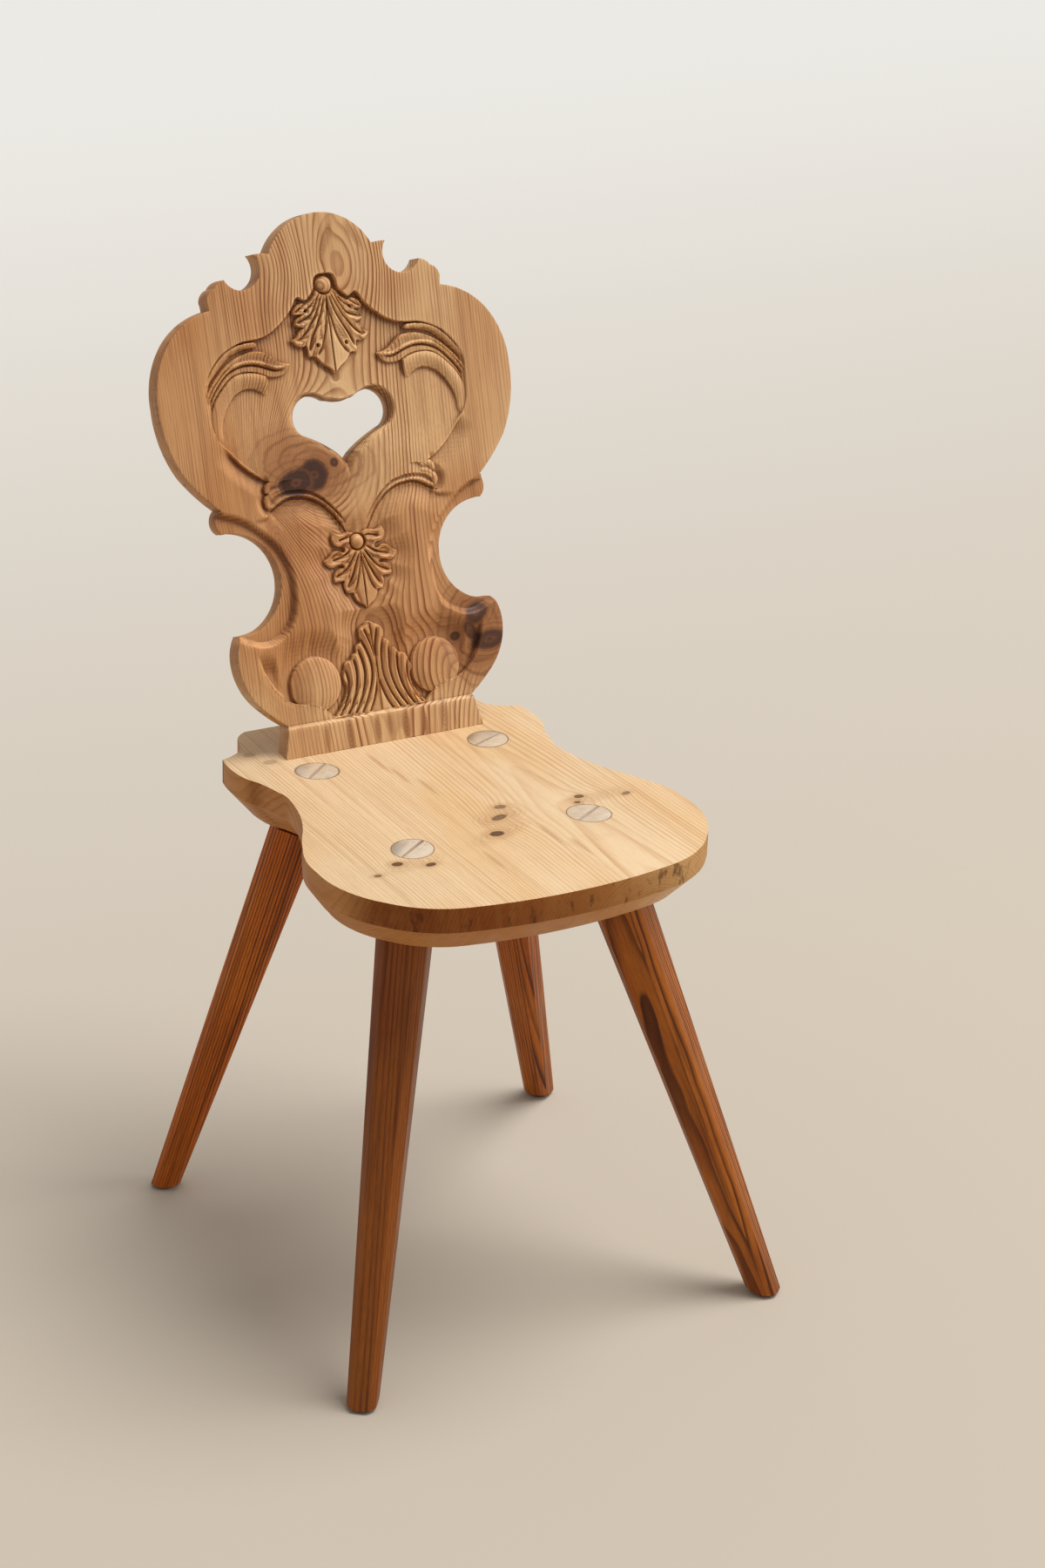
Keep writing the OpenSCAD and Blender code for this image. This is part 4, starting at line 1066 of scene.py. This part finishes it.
def pine(name, place, turn, grain, early, late, pith=(0.0, -45.0), tilt=0.0, spacing=3.4, wander=9.0,
         lines=1.0, knots=(), seed=0.0, end_tones=None, rough=0.5, hollow=0.0, streak=0.2, fibres=0.3,
         ripe=(0.97, 0.9, 0.8), fade=0.6, side_shade_tones=None, shine=0.35, swell=0.6, ripening=None, bold=None,
         end_spread=(2.0, 3.0), rims=()):
    """Pine with growth rings round a pith that runs along the grain.

    place and turn set the wood's own frame, in mm: x across, y along the grain, z up from the plank.
    grain is the grain's direction in the object's frame, and early and late are the two woods' colours.
    pith is the rings' centre (x, z), tilt its climb along the grain, spacing a ring's width, wander how
    far rings stray and lines their strength, which fade and bold(n, x, y) weaken by place.
    knots are (x, y, rx, ry, turn, dark, halo): a dark heart with brown rings about it, or only a swirl
    in the rings where both are 0, and swell is how far a knot pushes the rings.
    ripe is a tone for the riper patches, which ripening(n, x, y) places. end_tones are tones over the end
    grain, to the left and the right, on faces flatter than end_spread: the end grain's own colour with
    painted shade and light in it; side_shade_tones is the same for the sides, painted shade on the left and
    painted light on the right.
    rims are dark ovals (x, y, rx, ry, turn) round tenons, and hollow the strength of the carving's darker
    recesses and lighter crests, partly finish and wear and partly painted shade and highlight."""
    found = bpy.data.materials.get(name)
    if found:
        return found
    n = Nodes(name)
    here = n.add("ShaderNodeTexCoord")
    p = n.mapped(here.outputs["Object"], tuple(place), tuple(turn), (0.001, 0.001, 0.001))
    off = (seed * 7.3, seed * 3.1, seed * 5.7)
    line, near, x, y = growth_lines(n, p, off, pith, tilt, spacing, wander, lines, knots, swell, fade, bold)
    colour = n.mix(line, early, late)

    fibre = n.noise(p, (2.2, 0.045, 2.2), 3.0, 0.6, off)
    broad = n.noise(p, (0.16, 0.004, 0.16), 2.0, 0.55, (off[1], off[0], off[2]))
    blotch = n.noise(p, (0.011, 0.005, 0.011), 2.0, 0.5, (off[0], off[2], off[1]))
    colour = n.mix(n.step(fibre, 0.4, 0.72, 0.0, fibres), colour, late)
    colour = n.mix(n.step(broad, 0.45, 0.75, 0.0, streak), colour, tuple(0.82 * a for a in late))
    riper = n.step(blotch, 0.38, 0.62)
    if ripening:
        riper = n.math("ADD", ripening(n, x, y), n.math("MULTIPLY_ADD", riper, 0.5, -0.25), clamp=True)
    colour = shade(n, riper, colour, ripe)
    ticks = n.step(n.noise(p, (1.1, 0.035, 1.1), 2.0, 0.5, (off[2], off[1], off[0])), 0.66, 0.76, 0.0, 0.4)
    colour = n.mix(ticks, colour, tuple(0.7 * a for a in late))
    colour = with_knots(n, p, off, colour, late, knots, near)

    normal = here.outputs["Normal"]
    upright = n.add("ShaderNodeSeparateXYZ", {0: normal}).outputs[2]
    # painted shade and light on the side faces: a tone that darkens them most on the left and least on the
    # right, where the light comes from
    if side_shade_tones:
        flat = n.step(n.math("ABSOLUTE", upright), 0.8, 0.95)
        tone = n.mix(n.step(x, -10, 130), *side_shade_tones)
        colour = n.mix(flat, n.mix(1.0, colour, tone, "MULTIPLY"), colour)
    if end_tones:
        colour = with_end_grain_and_painted_light(n, p, off, x, normal, upright, colour, grain, end_tones, end_spread)
    for rim in rims:
        about = n.vector("LENGTH", placed(n, p, *rim, 400.0))
        colour = n.mix(n.step(about, 1.0, 1.06, 0.7, 0.0), colour, RIM_TONE)
    # the carving's recesses darkened and its crests lightened: partly finish and wear, partly painted shade
    # and painted highlight
    if hollow:
        sunk = n.add("ShaderNodeAttribute", attribute_name="hollow").outputs["Fac"]
        colour = shade(n, n.math("MULTIPLY", sunk, hollow, clamp=True), colour, SUNK_FINISH_AND_SHADE_TONE)
        colour = shade(n, n.math("MULTIPLY", sunk, -0.8 * hollow, clamp=True), colour, CREST_WEAR_AND_HIGHLIGHT_TONE)

    height = n.math("ADD", n.math("MULTIPLY", line, 0.6), n.math("MULTIPLY", fibre, 0.8))
    bump = n.add("ShaderNodeBump", {"Height": height, "Strength": 0.55, "Distance": 0.00022}).outputs[0]
    sheen = n.step(n.noise(p, (0.05, 0.02, 0.05), 2.0, 0.5, off), 0.3, 0.7, rough - 0.05, rough + 0.08)
    n.finish(colour, sheen, shine, bump)
    return n.material


BACK_KNOTS = [  # x, y, radii, turn, dark, halo
    # beside the heart's tip
    (-36, 269, 30, 15, -8, 0, 0.75), (-37, 257, 15, 15, 0, 1.0, 0.5), (-56, 252, 19, 12.5, 8, 1.0, 0.6),
    (-15, 266, 4.5, 4.5, 0, 0.9, 0.6),
    # at the lower right lobe
    (112, 90, 19, 26, 0, 0, 0.95), (112, 106, 13, 9, 30, 0.9, 0.7), (122, 79, 18, 9, 8, 0.9, 0.8),
    (104, 90, 6, 11, 30, 0.8, 0.6), (88, 87, 5, 4.5, 0, 0.9, 0.6),
    # swirls in the grain
    (-80, 196, 4.5, 12, 12, 0.0, 0.35), (-66, 222, 16, 14, 0, 0, 0), (18, 444, 18, 11, 0, 0, 0),
    (-42, 450, -13, 9, 20, 0, 0), (-92, 160, -9, 9, 0, 0, 0), (-50, 300, 16, 10, 0, 0, 0),
    # reddish streaks in the foot block
    (-36, 12, 2.0, 9, 0, 0, 0.8), (-7, 13, 1.6, 7, 0, 0, 0.75), (23, 11, 2.0, 8, 0, 0, 0.8),
    (63, 15, 2.6, 8, 0, 0, 0.5), (-60, 13, 1.4, 7, 0, 0, 0.6), (6, 17, 1.3, 6, 0, 0, 0.7),
    (43, 9, 1.4, 6, 0, 0, 0.7),
    # and in the crown
    (6, 470, 2.2, 9, -25, 0, 0.45), (36, 471, 2.0, 7, 30, 0, 0.4)]


def back_wood():
    c = colours()
    def ripening(n, x, y):
        """Riper colour across the waist and down the left-hand side."""
        waist = n.math("MULTIPLY", n.step(y, 20, 110), n.step(y, 190, 285, 1.0, 0.0))
        left = n.math("MULTIPLY", n.step(x, -150, 10, 0.95, 0.0), n.step(y, 60, 150, 0.4, 1.0))
        brow = n.math("MULTIPLY", n.step(y, 395, 425), 0.3)
        right = n.math("MULTIPLY", n.step(x, 118, 140, 0.0, 0.35), n.step(y, 240, 260))
        return n.math("MAXIMUM", n.math("MAXIMUM", waist, left), n.math("MAXIMUM", brow, right))

    def bold(n, x, y):
        """Strong growth lines in the middle and the crown, fine ones at the sides."""
        sides = n.step(n.math("ABSOLUTE", x), 60, 125, 1.0, 0.5)
        return n.math("MULTIPLY", sides, n.step(y, 385, 425, 1.0, 1.35))

    # hollow=0.9 puts painted shade in the carving's recesses and a painted highlight on its crests, over
    # their finish and wear
    return pine(
        "back_grain", BACK_FOOT, BACK_TURN, BACK_GRAIN, tuple(c.back_early), tuple(c.back_late),
        pith=(10.0, -84.0), tilt=0.035, spacing=2.5, wander=4.0, lines=1.4, bold=bold, knots=BACK_KNOTS,
        # end tones lighten the plank's faces along the grain: a painted highlight meant for its upward edges,
        # which falls on its downward faces too
        seed=1.0, hollow=0.9, rough=0.46, streak=0.3, end_tones=((1.08, 1.1, 1.08), (1.08, 1.1, 1.08)),
        ripe=(0.73, 0.53, 0.38), fade=0.45, ripening=ripening)


SEAT_KNOTS = [(x, y, rx, ry, turn, dark, 0.6 * dark) for x, y, rx, ry, turn, dark in (
    (12, 163, 9, 4.5, 20, 0.7), (24, 183, 6, 4, 0, 0.6), (-7, 133, 7, 5, 0, 0.85),
    (100, 173, 4.5, 3.5, 0, 0.8), (92, 162, 3, 2.6, 0, 0.75), (143, 161, 5, 2.8, 20, 0.6),
    (-116, 114, 5, 4, 0, 0.85), (-90, 101, 5, 3.2, 10, 0.85), (-142, 100, 3.8, 2.6, 0, 0.7),
    (-120, 363, 7, 5, 0, 0.35), (-130, 386, 6, 5, 0, 0.3))]
SEAT_KNOTS += [  # a brown haze along each row of knots, then the resin streaks
    (-2, 134, 17, 6, 22, 0, 0.3), (14, 166, 15, 8, 22, 0, 0.28), (118, 166, 15, 4.5, 12, 0, 0.3),
    (-102, 108, 15, 5, 12, 0, 0.28)]
SEAT_KNOTS += [(x, y, 1.2, length, 0, 0, 0.6) for x, y, length in (
    (-30, 318, 12), (-25, 285, 10), (-14, 250, 9), (36, 112, 12), (48, 78, 9), (-36, 84, 10))]


def seat_wood():
    c = colours()
    rims = [(side * 89.5, y, 20.6, 18.9, side * turn) for side in (-1, 1)
            for y, turn in ((136.5, -51.8), (326.0, 34.9))]
    return pine(
        "seat_grain", (0, SEAT_FRONT, SEAT_TOP), (0, 0, 0), (0, 1, 0), tuple(c.seat_early),
        tuple(c.seat_late), pith=(78.0, -70.0), tilt=-0.03, spacing=3.0, wander=3.5, lines=0.7,
        # end tones: the front's darker end grain, with painted shade at the left and painted light at the
        # right
        knots=SEAT_KNOTS, seed=4.0, end_tones=((0.43, 0.24, 0.036), (0.74, 0.68, 0.50)),
        # side tones: painted shade on the seat's left-hand sides, painted light on its right-hand sides
        end_spread=(0.35, 0.7), streak=0.25, side_shade_tones=((0.69, 0.42, 0.21), (0.95, 0.80, 0.68)),
        swell=0.2, rims=rims, shine=0.2)


Leg = namedtuple("Leg", "row side rake seed tone pith wander lines end_turn")
LEGS = {  # rake in degrees, tone over the legs' pale wood, end_turn of the end grain's rings in radians
    "leg_front_left": Leg("front", -1, -18.8, 2.0, (0.88, 0.88, 0.76), (46, -24), 3.0, 0.8, 1.0),
    "leg_front_right": Leg("front", 1, -18.8, 5.0, (1.35, 1.4, 1.25), (40, 2), 9.0, 1.5, 0.3),
    "leg_rear_left": Leg("rear", -1, 10.6, 8.0, (1.9, 1.8, 1.05), (10, -46), 3.0, 1.5, 0.6),
    "leg_rear_right": Leg("rear", 1, 10.6, 11.0, (1.45, 1.4, 0.92), (-52, -18), 2.5, 1.1, -0.4)}
SPLAY = math.radians(15)  # of the legs, sideways


def leg_axis(leg):
    """Top of a leg's axis and its unit direction, downwards."""
    top = Vector((leg.side * TENON_X, SEAT_FRONT + TENON_Y[leg.row], SEAT_TOP))
    return top, Vector((leg.side * math.tan(SPLAY), math.tan(math.radians(leg.rake)), -1)).normalized()


def leg_wood(node):
    leg = LEGS[node]
    top, way = leg_axis(leg)
    plan = math.atan2(way.y, way.x)
    across = Vector((-math.sin(plan), math.cos(plan), 0))
    basis = Matrix((across, -way, across.cross(-way))).transposed()
    early = tuple(a * b for a, b in zip(colours().leg_early, leg.tone))
    return pine(
        node + "_wood", top, basis.to_euler(), -way, early, tuple(colours().leg_late), pith=leg.pith,
        tilt=0.035, spacing=2.8, wander=leg.wander, lines=leg.lines, seed=leg.seed, rough=0.4,
        end_tones=((0.6, 0.5, 0.4), (0.6, 0.5, 0.4)), fade=0.75, streak=0.6, fibres=0.45,
        ripe=(0.8, 0.7, 0.6), shine=0.22)


def tenon_end(node):
    """End grain of a leg's tenon, greyish, with fine rings."""
    leg = LEGS[node]
    return pine(
        node + "_end", leg_axis(leg)[0], (math.pi / 2, 0, leg.end_turn), (0, 0, 1), (0.70, 0.57, 0.43),
        (0.32, 0.25, 0.19), pith=(30.0, -60.0), spacing=2.3, wander=3.0, lines=0.9, seed=leg.seed, rough=0.6)


def wedge_wood():
    return pine(
        "wedge_end", (0, 0, SEAT_TOP), (math.pi / 2, 0, 0.6), (0, 0, 1), (0.46, 0.36, 0.27),
        (0.22, 0.16, 0.11), spacing=1.6, wander=2.0, seed=14.0, rough=0.6)


def key_wood():
    c = colours()
    return pine(
        "key_pine", (0, SEAT_FRONT + 0.35, SEAT_LOW.z), (0, 0, 0), (0, 1, 0), tuple(c.back_early),
        tuple(c.back_late), pith=(40.0, -30.0), spacing=2.6, wander=3.0, seed=17.0, rough=0.5)


# ---- Stage ---------------------------------------------------------------------------------


FAR_FLOOR = (0.71, 0.70, 0.67)  # the floor's colour far behind the chair, paler than near it: a painted pool of light


def aimed(away):
    """A turn that shines from the direction away."""
    return Vector(away).to_track_quat("Z", "Y").to_euler()


def put(scene, name, data, location, turn):
    obj = bpy.data.objects.new(name, data)
    obj.location, obj.rotation_euler = location, turn
    scene.collection.objects.link(obj)
    return obj


class CHAIR_OT_stage(bpy.types.Operator):
    """Builds the plain floor, the soft lights and the camera"""

    bl_idname = "chair.stage"
    bl_label = "Stage"

    def execute(self, context):
        scene = context.scene
        deselect()
        bpy.ops.mesh.primitive_plane_add(size=40)
        floor = context_object("floor")
        n = Nodes("plain_floor")
        place = n.add("ShaderNodeTexCoord").outputs["Object"]
        # the floor pales towards the back: painted light, on a plain floor
        far = n.step(n.add("ShaderNodeSeparateXYZ", {0: place}).outputs[1], -0.6, 5.0)
        n.finish(n.mix(far, tuple(colours().floor), FAR_FLOOR), 0.85, 0.15)
        floor.data.materials.append(n.material)

        sun = bpy.data.lights.new("overhead", "SUN")
        sun.energy, sun.angle = 2.5, math.radians(38)
        put(scene, "overhead", sun, (1.2, 0.1, 2.6), aimed((0.40, -0.06, 0.90)))
        panel = bpy.data.lights.new("side", "AREA")
        panel.energy, panel.size = 25.0, 1.6
        put(scene, "side", panel, (2.6, -1.4, 1.5), aimed((2.6, -1.4, 0.9)))

        scene.world = bpy.data.worlds.new("pale_room")
        scene.world.use_nodes = True
        sky = scene.world.node_tree.nodes["Background"]
        sky.inputs[0].default_value = (1.0, 0.98, 0.95, 1)
        sky.inputs[1].default_value = 0.46

        camera = bpy.data.cameras.new("camera")
        camera.lens = 77.49
        camera.sensor_width = 36
        camera.sensor_fit = "AUTO"
        camera.clip_start, camera.clip_end = 0.1, 60
        heading, pitch, roll = (Matrix.Rotation(math.radians(turn), 4, axis) for turn, axis in
                                ((-30.03, "Z"), (90 - 23.554, "X"), (1.914, "Z")))
        scene.camera = put(scene, "camera", camera, (-1.3505, SEAT_FRONT - 2.2334, 1.6850),
                           (heading @ pitch @ roll).to_euler())
        scene.view_settings.view_transform = "Standard"
        return {"FINISHED"}


class CHAIR_PT_panel(bpy.types.Panel):
    """Lists the chair's pieces"""

    bl_idname = "CHAIR_PT_panel"
    bl_label = "Carved Board Chair"
    bl_space_type = "VIEW_3D"
    bl_region_type = "UI"
    bl_category = "Chair"

    def draw(self, context):
        layout = self.layout
        for name in BUILD_ORDER:
            layout.operator(name)
        for group in (sizes(), colours()):
            for key in group.__annotations__:
                layout.prop(group, key)


BUILD_ORDER = ("chair.stage", "chair.seat", "chair.back", "chair.legs", "chair.wedges", "chair.keys")
CLASSES = (ChairSizes, ChairColours, CHAIR_OT_stage, CHAIR_OT_seat, CHAIR_OT_back, CHAIR_OT_legs,
           CHAIR_OT_wedges, CHAIR_OT_keys, CHAIR_PT_panel)


def register():
    for cls in CLASSES:
        bpy.utils.register_class(cls)
    bpy.types.Scene.chair_sizes = PointerProperty(type=ChairSizes)
    bpy.types.Scene.chair_colours = PointerProperty(type=ChairColours)


def unregister():
    del bpy.types.Scene.chair_colours
    del bpy.types.Scene.chair_sizes
    for cls in reversed(CLASSES):
        bpy.utils.unregister_class(cls)


def main():
    register()
    bpy.ops.chair.stage()
    bpy.ops.chair.seat()
    bpy.ops.chair.back()
    bpy.ops.chair.legs()
    bpy.ops.chair.wedges()
    bpy.ops.chair.keys()


if __name__ == "__main__":
    main()
